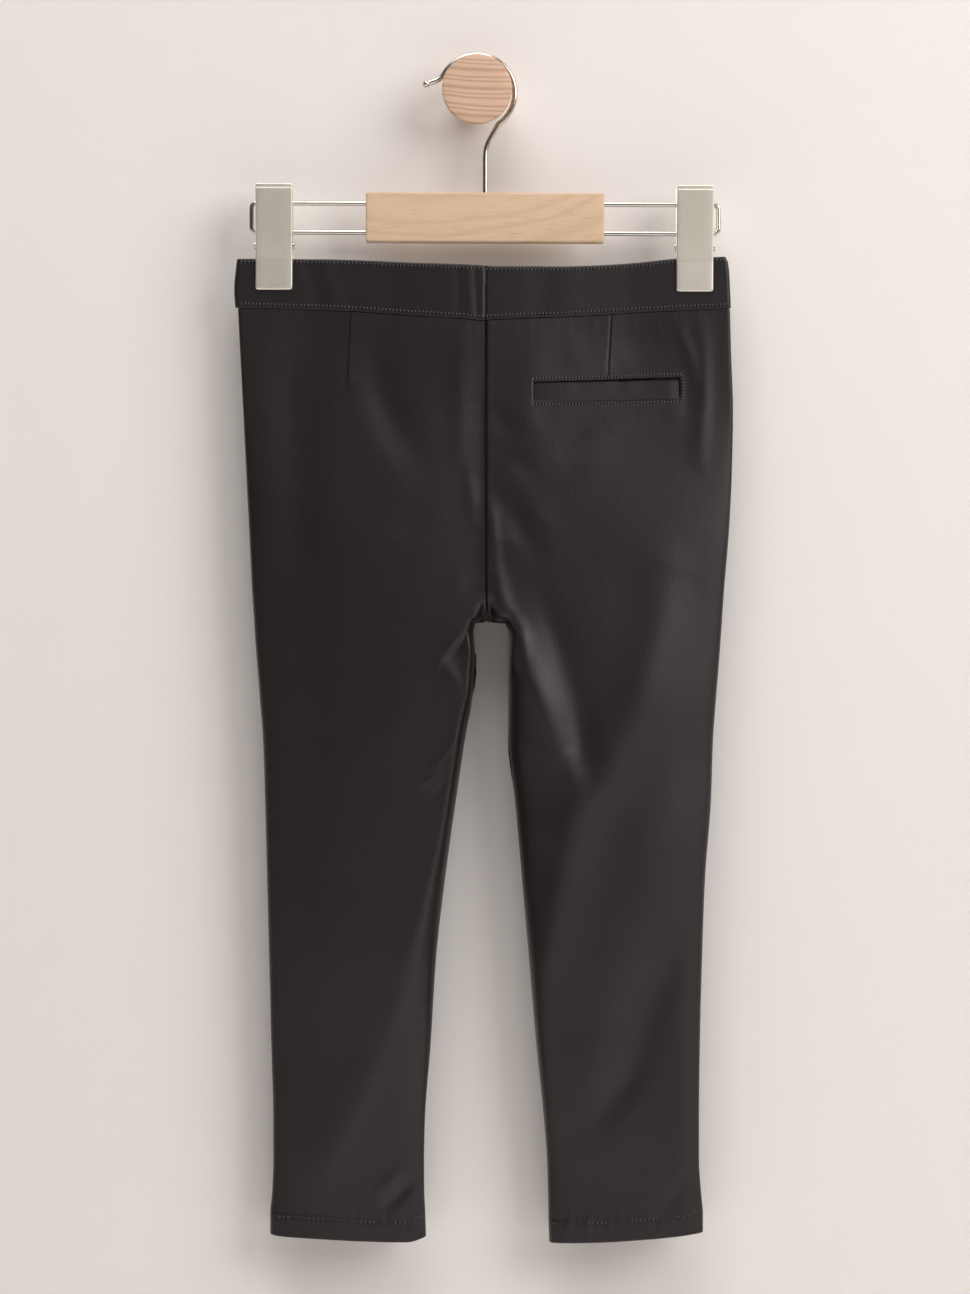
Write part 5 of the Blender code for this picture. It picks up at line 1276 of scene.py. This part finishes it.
def bandRows(face):
    # Two rows along each half of the waistband, under its top edge and over its seam.
    rows = []
    for side in ("left", "right"):
        start = garment["side" + capital(side)] - sideSign(side) * 2.5
        end = garment["centreX"] + sideSign(side) * 1.0
        if face == "front":
            end = garment["centreX"] + (lap["overEnd"] - 1.6 if side == "left" else lap["overEnd"] + 0.8)
        x = np.linspace(start, end, 400)
        for line, up in (("seam", stitch["overSeam"]), ("top", -stitch["underTop"])):
            z = waistLine(line, face, x) + up

            def depthOf(atX, atZ, side=side):
                return bandDepth(side, face, atX, atZ)

            rows.append(stitchRow(depthOf, face, x, z))
    return rows


def sunkInStretches(row, deep, length, seed):
    # Lets the stitches sink into the cloth where a slow ripple is high.
    place3, ahead, normal, long, slant = row
    sunk = smoothSteps(1.6 * wander(place3[:, 0], length, seed) + 0.7)
    return place3 - normal * (deep * sunk)[:, None], ahead, normal, long, slant


def hemStitches(side):
    # One row on each face of the leg, ending 2 mm short of its edges.
    rows = []
    for face in ("back", "front"):
        ends = sorted(sectionAt(edge + capital(side), hem["stitchZ"]) for edge in ("side", "inner"))
        x = np.linspace(ends[0] + 2.0, ends[1] - 2.0, 300)
        z = hemLine(side, x) + hem["stitchUp"]

        def depthOf(atX, atZ, face=face):
            return panelDepth(side, face, atX, atZ)

        def middleOf(atZ):
            return sectionAt("mid" + capital(side), atZ)

        row = stitchRow(depthOf, face, x, z, middle=middleOf, pitch=stitch["hemPitch"],
                        long=stitch["hemLong"], slant=stitch["hemSlant"])
        seed = 1.7 if side == "left" else 0.6
        rows.append(sunkInStretches(row, stitch["hemSink"], stitch["hemLength"], seed))
    return rows


def pocketStitches():
    # The stitched box round the opening, and the dense bar tack at its inner end.
    out = pocket["stitchOut"]
    x = np.linspace(pocket["x0"] - out, pocket["x1"] + out, 300)
    over, under = pocketReach(x)
    top = pocketMiddle(x) + over + out
    low = pocketMiddle(x) - under - out

    def depthOf(atX, atZ):
        return panelDepth("right", "back", atX, atZ)

    lines = [(x, top), (x, low), (np.full(40, pocket["x1"] + out), np.linspace(top[-1], low[-1], 40))]
    rows = [stitchRow(depthOf, "back", lineX, lineZ, pitch=stitch["pocketPitch"], long=stitch["pocketLong"])
            for lineX, lineZ in lines]
    count = pocket["tackCount"]
    tackZ = np.linspace(top[0], low[0], count)
    swing = pocket["tackHalf"] * np.where(np.arange(count) % 2 == 0, -1.0, 1.0)
    tackX = pocket["x0"] - pocket["tackOut"] + swing
    rows.append(stitchRow(depthOf, "back", tackX, tackZ, pitch=stitch["tackPitch"], long=stitch["tackLong"],
                          slant=0.0))
    return rows


def flyStitches():
    # One row inside the placket's free edge, which rises at its end by the same distance.
    drop, width = flyOutline()
    x = garment["centreX"] - fly["inset"] - np.maximum(width - fly["stitchIn"], 0.0)
    z = drop + np.linspace(0.0, 1.0, len(drop)) ** 6 * fly["stitchIn"]

    def depthOf(atX, atZ):
        return panelDepth("left", "front", atX, atZ) + fly["over"] + fly["edgeRise"]

    return [stitchRow(depthOf, "front", x[4:], z[4:])]


stitching = {
    "waistBack": stitchPiece("stitchesWaistBack", bandRows("back")),
    "waistFront": stitchPiece("stitchesWaistFront", bandRows("front")),
    "hemLeft": stitchPiece("stitchesHemLeft", hemStitches("left")),
    "hemRight": stitchPiece("stitchesHemRight", hemStitches("right")),
    "pocket": stitchPiece("stitchesPocket", pocketStitches()),
    "fly": stitchPiece("stitchesFly", flyStitches()),
}
for piece in stitching.values():
    place(piece, "trouser_cloth")
print("stitches made")

# Button

button = {
    "x": 15.0, "drop": 14.5, "over": 0.3, "around": 72, "floorRings": 40,
    "hole": 0.8, "holeOut": 1.6, "holeEdge": 0.25, "sink": 1.6,
    "threadUp": 1.95, "threadApart": 0.28, "threadLong": 2.3, "threadRadius": 0.3,
}
buttonRim = tableOf("reach height", [
    (7.75, 2.5), (7.93, 2.2), (8.0, 1.8), (8.0, 0.8), (7.9, 0.3), (7.5, 0.0), (6.0, 0.0), (0.02, 0.0),
])


def buildButton():
    # A dish turned round Y: the radius runs out over the rim and back to the rear face, and four places in
    # the floor are pushed in as thread holes.
    count = button["floorRings"]
    reach = np.concatenate([np.linspace(0.02, 5.2, count), np.linspace(5.5, 7.4, 8), buttonRim["reach"]])
    height = np.concatenate([np.full(count, 1.8), np.linspace(1.9, 2.6, 4), np.full(4, 2.6),
                             buttonRim["height"]])
    turn = np.linspace(0.0, 2.0 * math.pi, button["around"], endpoint=False)
    x = reach[:, None] * np.cos(turn)
    z = reach[:, None] * np.sin(turn)
    y = np.repeat(height[:, None], len(turn), axis=1)
    for quarter in range(4):
        angle = math.pi / 4.0 + quarter * math.pi / 2.0
        away = np.hypot(x - button["holeOut"] * math.cos(angle), z - button["holeOut"] * math.sin(angle))
        hole = button["sink"] * smoothSteps((button["hole"] - away) / button["holeEdge"] + 0.5)
        y[:count] -= hole[:count]
    middleX = garment["centreX"] + button["x"]
    middleZ = waistLine("top", "front", middleX) - button["drop"]
    onBand = garment["hangY"] + float(bandDepth("left", "front", np.array([middleX]), np.array([middleZ]))[0])
    points = np.stack([x + middleX, y + onBand + button["over"], z + middleZ], axis=2)
    return ringPiece("waistButton", points, finishes["button"], sharp=50.0), middleX, middleZ, onBand


def buildButtonThread(middleX, middleZ, onBand):
    # Two crossed pairs of threads between the holes.
    rows = []
    at = np.array([middleX, onBand + button["over"] + button["threadUp"], middleZ])
    apart = np.array([[button["threadApart"]], [-button["threadApart"]]])
    long = np.full(2, button["holeOut"] * button["threadLong"])
    for angle in (math.pi / 4.0, -math.pi / 4.0):
        ahead = np.array([math.cos(angle), 0.0, math.sin(angle)])
        beside = np.array([-math.sin(angle), 0.0, math.cos(angle)])
        outward = np.tile((0.0, 1.0, 0.0), (2, 1))
        rows.append((at + beside * apart, np.tile(ahead, (2, 1)), outward, long, np.zeros(2)))
    return stitchPiece("buttonThread", rows, button["threadRadius"], paintedShadeDips=False)


waistButton, buttonX, buttonZ, buttonY = buildButton()
place(waistButton, "button_plastic", "waist_button")
place(buildButtonThread(buttonX, buttonZ, buttonY), "trouser_cloth")
print("button made")

# Hanger and knob

hanger = {
    "pivotX": 4.7, "pivotZ": -59.7, "tilt": math.radians(0.25),
    "barLeft": -64.4, "barRight": 73.7, "barTop": -59.7, "barLow": -88.4, "barThick": 12.0, "barRound": 1.3,
    "railRadius": 1.45, "railTop": -65.8, "railLow": -82.65, "railCorner": 3.0, "railLeft": -130.7,
    "railRight": 140.1, "railSeat": 6.0,
    "hookRadius": 1.65, "hookX": 4.7, "hookSeat": 8.0, "arcX": -0.1, "arcZ": -1.4, "arcRadius": 22.1,
    "ball": 2.2,
}
clip = {
    "width": 21.4, "plate": 1.0, "corner": 0.8, "leftX": -117.4, "rightX": 126.4,
    "pinZ": -90.5, "pinRadius": 1.6,
    "springRadius": 2.42, "springWire": 0.5, "springLength": 12.0, "springTurns": 10, "endRound": 1.1,
    "line": 0.22, "lineDown": 2.3, "lineWide": 0.3, "lowTurn": 0.5, "lowTurnTall": 0.45,
    "headOver": 0.7, "headOut": 1.1, "headGap": 0.3,
}
clipFront = tableOf("z face tip", [
    (-116.3, 3.75, 2.5), (-115.6, 3.95, 2.5), (-98.6, 3.95, 2.5), (-95.9, 4.35, 2.5), (-94.3, 4.57, -2.6),
    (-88.0, 5.45, -3.3), (-61.0, 9.15, -3.3), (-58.6, 9.48, 2.0), (-56.0, 9.75, 7.6), (-55.4, 9.6, 7.6),
])
clipBack = tableOf("z face tip", [
    (-116.3, 3.75, 2.5), (-115.6, 3.95, 2.5), (-98.6, 3.95, 2.5), (-95.9, 4.35, 2.95), (-94.3, 4.57, 3.0),
    (-88.0, 5.45, 3.65), (-61.0, 9.15, 3.65), (-58.6, 9.48, 5.0), (-56.0, 9.75, 7.6), (-55.4, 9.6, 7.6),
])


def tilted(points):
    # The hanger leans by a quarter of a degree round the foot of its hook.
    x, z = points[..., 0] - hanger["pivotX"], points[..., 2] - hanger["pivotZ"]
    sine, cosine = math.sin(hanger["tilt"]), math.cos(hanger["tilt"])
    across = hanger["pivotX"] + x * cosine + z * sine
    up = hanger["pivotZ"] + z * cosine - x * sine
    return np.stack([across, points[..., 1], up], axis=-1)


def softenPath(path, rounds=3):
    # Cuts each corner at a quarter and three quarters of its sides, keeping the two ends.
    path = np.asarray(path, dtype=float)
    for _ in range(rounds):
        near = 0.75 * path[:-1] + 0.25 * path[1:]
        far = 0.25 * path[:-1] + 0.75 * path[1:]
        cut = np.stack([near, far], axis=1).reshape(-1, path.shape[1])
        path = np.concatenate([path[:1], cut[1:-1], path[-1:]])
    return path


def ringsAlong(path, radius, sides, helper):
    # Rings of the given radii, square to a path of (x, y, z) and started square to the helper.
    ahead = unit(np.gradient(path, axis=0))
    first = unit(np.cross(ahead, np.array(helper)))
    second = np.cross(ahead, first)
    turn = np.linspace(0.0, 2.0 * math.pi, sides, endpoint=False)
    ring = first[:, None] * np.cos(turn)[None, :, None] + second[:, None] * np.sin(turn)[None, :, None]
    return path[:, None] + np.broadcast_to(radius, (len(path),))[:, None, None] * ring


def tubePiece(name, path, radius, sides, lean=True):
    # A round wire along a path, with flat ends.
    points = ringsAlong(path, radius, sides, (0.0, 1.0, 0.0))
    return ringPiece(name, tilted(points) if lean else points, finishes["wire"], sharp=50.0)


def turnedPoints(profile, sides):
    # A profile of (place along Y, radius) turned round the Y axis.
    turn = np.linspace(0.0, 2.0 * math.pi, sides, endpoint=False)
    along, radius = np.asarray(profile, dtype=float).T
    y = np.repeat(along[:, None], sides, axis=1)
    return np.stack([radius[:, None] * np.cos(turn), y, radius[:, None] * np.sin(turn)], axis=2)


def arcPoints(centreX, centreZ, radius, start, end, count):
    angles = np.radians(np.linspace(start, end, count))
    return np.stack([centreX + radius * np.cos(angles), centreZ + radius * np.sin(angles)], axis=1)


def inHangPlane(path):
    return np.stack([path[:, 0], np.full(len(path), garment["hangY"]), path[:, 1]], axis=1)


def buildHook():
    # Up the shank, out into the round bend, over the knob, and out to a small ball.
    shank = [(hanger["hookX"], hanger["barTop"] - hanger["hookSeat"]), (hanger["hookX"], -46.0),
             (hanger["hookX"], -38.5), (5.0, -34.0), (6.9, -28.9), (9.6, -24.5)]
    bend = arcPoints(hanger["arcX"], hanger["arcZ"], hanger["arcRadius"], -56.0, 148.0, 34)
    tip = [(-20.3, 7.9), (-22.4, 6.3), (-25.0, 5.2), (-27.4, 4.5)]
    path = softenPath(np.concatenate([shank, bend, tip]))
    way = np.array([-0.957, -0.29])
    reach = np.linspace(0.2, 2.0 * hanger["ball"], 12)
    ball = path[-1] + way * reach[:, None]
    ballRadius = np.sqrt(np.maximum(hanger["ball"] ** 2 - (reach - hanger["ball"]) ** 2, 0.05))
    ballRadius[:3] = np.maximum(ballRadius[:3], hanger["hookRadius"])
    radius = np.concatenate([np.full(len(path), hanger["hookRadius"]), ballRadius])
    return tubePiece("hangerHook", inHangPlane(np.concatenate([path, ball])), radius, 20, lean=False)


def buildRail(side):
    # Out along the upper wire, round two bends, and back along the lower one.
    outward = sideSign(side)
    barEnd = hanger["bar" + capital(side)]
    end = hanger["rail" + capital(side)]
    corner = hanger["railCorner"]
    start = barEnd - outward * hanger["railSeat"]
    bends = np.concatenate([arcPoints(0.0, hanger["railTop"] - corner, corner, 90.0, 0.0, 14),
                            arcPoints(0.0, hanger["railLow"] + corner, corner, 0.0, -90.0, 14)])
    bends[:, 0] = end - outward * corner + outward * bends[:, 0]
    runs = np.linspace(start, end - outward * corner, 12)[:-1]
    top = np.stack([runs, np.full(len(runs), hanger["railTop"])], axis=1)
    low = np.stack([runs[::-1], np.full(len(runs), hanger["railLow"])], axis=1)
    path = np.concatenate([top, bends, low])
    if side == "left":
        path = path[::-1]
    return tubePiece("hangerRail" + capital(side), inHangPlane(path), hanger["railRadius"], 18)


def buildBar():
    # A box with rounded long edges whose sections draw in at both ends, closed by flat end faces.
    half = np.array([hanger["barThick"] / 2.0, (hanger["barTop"] - hanger["barLow"]) / 2.0])
    middle = np.array([garment["hangY"], (hanger["barTop"] + hanger["barLow"]) / 2.0])
    rounding = hanger["barRound"]
    turn = np.radians(np.linspace(0.0, 90.0, 6))
    corners = []
    for quarter, (signY, signZ) in enumerate(((1, 1), (-1, 1), (-1, -1), (1, -1))):
        angle = turn + quarter * math.pi / 2.0
        corners.append(np.stack([np.cos(angle) + signY * (half[0] / rounding - 1.0),
                                 np.sin(angle) + signZ * (half[1] / rounding - 1.0)], axis=1) * rounding)
    outline = np.concatenate(corners)
    ease = np.radians(np.linspace(0.0, 90.0, 6))
    drawn = 1.0 - np.sin(ease)
    startX = hanger["barLeft"] + rounding * (1.0 - np.cos(ease))
    endX = hanger["barRight"] - rounding * (1.0 - np.cos(ease))
    middleX = np.linspace(startX[-1], endX[-1], 26)[1:-1]
    x = np.concatenate([startX, middleX, endX[::-1]])
    inset = np.concatenate([drawn, np.zeros(len(middleX)), drawn[::-1]]) * rounding
    shrink = 1.0 - inset[:, None] / half[None, :]
    y = middle[0] + outline[None, :, 0] * shrink[:, :1]
    z = middle[1] + outline[None, :, 1] * shrink[:, 1:]
    points = tilted(np.stack([np.broadcast_to(x[:, None], y.shape), y, z], axis=2))
    return ringPiece("hangerBar", points, finishes["barWood"], sharp=50.0)


def clipOutline(face, tip, half):
    # Half of a channel section, from the middle of its face round the flange and back inside, then mirrored.
    corner, plate = clip["corner"], clip["plate"]
    turn = np.radians(np.linspace(90.0, 0.0, 7))
    faceLine, halfLine, tipLine = face[:, None], half[:, None], tip[:, None]
    outerX = halfLine - corner + corner * np.cos(turn)
    outerY = faceLine - corner + corner * np.sin(turn)
    across = np.concatenate([halfLine * 0.25, halfLine * 0.6, outerX, halfLine, halfLine - plate * 0.25,
                             halfLine - plate, halfLine - plate, halfLine * 0.5], axis=1)
    away = np.concatenate([faceLine, faceLine, outerY, tipLine + 0.2, tipLine, tipLine,
                           faceLine - plate, faceLine - plate], axis=1)
    return np.concatenate([across, -across[:, ::-1]], axis=1), np.concatenate([away, away[:, ::-1]], axis=1)


def buildClipPlate(side, part):
    # The section is carried up the plate; its width draws in at both ends as rounded corners, a fine rolled
    # line crosses the face near the top, and the face turns in at the lower edge.
    rows = clipFront if part == "front" else clipBack
    sign = -1.0 if part == "front" else 1.0
    low, top = rows["z"].min(), rows["z"].max()
    places = [(0.0, 0.01, 8.0), (1.0, 0.03, 7.0), (0.36, 0.03, 3.0), (0.965, 0.02, 4.0)]
    z = low + (top - low) * crowded(90, places)
    face = np.interp(z, rows["z"], rows["face"])
    tip = np.interp(z, rows["z"], rows["tip"])
    face = face - clip["line"] * np.exp(-((z - top + clip["lineDown"]) / clip["lineWide"]) ** 2)
    face = face - clip["lowTurn"] * np.exp(-((z - low) / clip["lowTurnTall"]) ** 2)
    ends = np.minimum(z - low, top - z)
    rounding = clip["endRound"]
    drawn = rounding - np.sqrt(np.maximum(rounding ** 2 - np.maximum(rounding - ends, 0.0) ** 2, 0.0))
    across, away = clipOutline(face, tip, clip["width"] / 2.0 - drawn)
    height = np.broadcast_to(z[:, None], away.shape)
    points = np.stack([clip[side + "X"] + across, garment["hangY"] + sign * away, height], axis=2)
    name = "clip" + capital(side) + capital(part)
    return ringPiece(name, tilted(points), finishes["plate"], flip=sign > 0, sharp=35.0)


def acrossClip(points, middleX):
    # Lays a piece that was turned round Y along X instead, at the height of the pin.
    x, y, z = points[..., 0], points[..., 1], points[..., 2]
    return tilted(np.stack([y + middleX, garment["hangY"] - x, z + clip["pinZ"]], axis=-1))


def buildPin(side):
    # A round body with a flat rounded head at each end.
    half, body, gap = clip["width"] / 2.0, clip["pinRadius"], clip["headGap"]
    head, end = body + clip["headOver"], half + clip["headOut"]
    right = [(half + gap, body), (half + gap, head), (end - 0.3, head), (end - 0.05, head - 0.35),
             (end, body)]
    profile = [(-along, radius) for along, radius in right[::-1]] + right
    points = acrossClip(turnedPoints(profile, 28), clip[side + "X"])
    return ringPiece("clip" + capital(side) + "Pin", points, finishes["wire"], flip=True, sharp=40.0)


def buildSpring(side):
    # A helix round the pin.
    turns = clip["springTurns"]
    t = np.linspace(0.0, 1.0, turns * 18 + 1)
    angle = 2.0 * math.pi * turns * t
    along = (t - 0.5) * clip["springLength"] + clip[side + "X"]
    path = np.stack([along, garment["hangY"] - clip["springRadius"] * np.cos(angle),
                     clip["springRadius"] * np.sin(angle) + clip["pinZ"]], axis=1)
    points = tilted(ringsAlong(path, clip["springWire"], 8, (1.0, 0.0, 0.0)))
    return ringPiece("clip" + capital(side) + "Spring", points, finishes["wire"])


def buildKnob():
    # Flat back, a neck that widens to the land for the hook, and a head with softly rounded edges.
    profile = [(0.0, 14.0), (-0.8, 14.6), (-12.0, 16.6), (-22.5, 18.6), (-27.9, 18.65), (-29.4, 20.0),
               (-30.4, 20.3), (-33.9, 20.3), (-34.75, 19.95), (-35.0, 19.1)]
    profile = np.concatenate([softenPath(profile), [(-35.0, 12.0), (-35.0, 4.0)]])
    return ringPiece("wallKnob", turnedPoints(profile, 128), finishes["knobWood"], sharp=30.0)


place(buildBar(), "bar_wood", "hanger_bar")
place(buildHook(), "bright_wire", "hanger_hook")
place(buildKnob(), "knob_wood", "wall_knob")
for side in ("left", "right"):
    place(buildRail(side), "bright_wire", "hanger_rail_" + side)
    place(buildPin(side), "bright_wire", "clip_" + side + "_pin")
    place(buildSpring(side), "bright_wire", "clip_" + side + "_spring")
    for part in ("front", "back"):
        place(buildClipPlate(side, part), "satin_plate", "clip_" + side + "_" + part)
print("hanger and knob made")

# A loop over the waistband pieces that only finds the side of each

for key, piece in bands.items():
    side = "left" if "Left" in key else "right"

# Pale backdrop and floor, seen from their front only, and soft light from the upper right

studio = {
    "wall": (0.80, 0.765, 0.745, 1.0), "floor": (0.80, 0.775, 0.76, 1.0), "floorZ": -0.95, "size": 9.0,
    "world": (0.93, 0.90, 0.885, 1.0), "worldStrength": 0.07, "target": (0.0, -0.02, -0.35),
}
# Each light: its place, the side of its square, its power and its colour.
lights = {
    "keyLight": ((1.75, -1.55, 0.8), 1.7, 42.0, (1.0, 0.985, 0.97)),
    "fillLight": ((-0.25, -1.25, 2.2), 1.9, 53.0, (1.0, 0.98, 0.96)),
    "rearLight": ((-1.3, 2.0, 0.8), 1.4, 34.0, (1.0, 0.985, 0.97)),
}


def backdropMaterial(name, colour):
    # Matt paint on the side that faces the object, clear from behind and for shadows.
    made, tree, shader = newMaterial(name)
    cloud = stretchedNoise(tree, objectPlace(tree), (3.0, 3.0, 3.0), 3.0)
    paler = tuple(min(1.0, value * 1.03) for value in colour[:3]) + (1.0,)
    tree.links.new(mixColours(tree, cloud, colour, paler), shader.inputs["Base Color"])
    shader.inputs["Roughness"].default_value = 0.95
    shader.inputs["Specular IOR Level"].default_value = 0.1
    backside = tree.nodes.new("ShaderNodeNewGeometry").outputs["Backfacing"]
    shadow = tree.nodes.new("ShaderNodeLightPath").outputs["Is Shadow Ray"]
    clear = calculate(tree, "MAXIMUM", backside, shadow)
    mix = tree.nodes.new("ShaderNodeMixShader")
    tree.links.new(clear, mix.inputs[0])
    tree.links.new(shader.outputs[0], mix.inputs[1])
    tree.links.new(tree.nodes.new("ShaderNodeBsdfTransparent").outputs[0], mix.inputs[2])
    tree.links.new(mix.outputs[0], tree.nodes["Material Output"].inputs["Surface"])
    return made


def stagePlane(name, corners, finish):
    mesh = bpy.data.meshes.new(name)
    mesh.from_pydata(corners, [], [(0, 1, 2, 3)])
    mesh.materials.append(finish)
    plane = bpy.data.objects.new(name, mesh)
    bpy.context.scene.collection.objects.link(plane)


def areaLight(name, location, size, power, colour):
    # A square of light that faces the target.
    lamp = bpy.data.lights.new(name, "AREA")
    lamp.shape = "RECTANGLE"
    lamp.size, lamp.size_y = size, size
    lamp.energy = power
    lamp.color = colour
    made = bpy.data.objects.new(name, lamp)
    bpy.context.scene.collection.objects.link(made)
    made.location = location
    towards = np.array(studio["target"]) - np.array(location)
    made.rotation_euler = (math.atan2(math.hypot(towards[0], towards[1]), -towards[2]), 0.0,
                           math.atan2(towards[1], towards[0]) - math.pi / 2.0)


reachX, lowZ = studio["size"], studio["floorZ"]
stagePlane("backdropWall", [(-reachX, 0.0, lowZ), (reachX, 0.0, lowZ), (reachX, 0.0, 4.0),
                            (-reachX, 0.0, 4.0)], backdropMaterial("backdropPaint", studio["wall"]))
stagePlane("studioFloor", [(-reachX, -reachX, lowZ), (reachX, -reachX, lowZ), (reachX, reachX, lowZ),
                           (-reachX, reachX, lowZ)], backdropMaterial("floorPaint", studio["floor"]))
for name, (location, size, power, colour) in lights.items():
    areaLight(name, location, size, power, colour)
world = bpy.data.worlds.new("studioWorld")
world.use_nodes = True
world.node_tree.nodes["Background"].inputs["Color"].default_value = studio["world"]
world.node_tree.nodes["Background"].inputs["Strength"].default_value = studio["worldStrength"]
bpy.context.scene.world = world
bpy.context.scene.view_settings.view_transform = "Standard"
print("studio set")
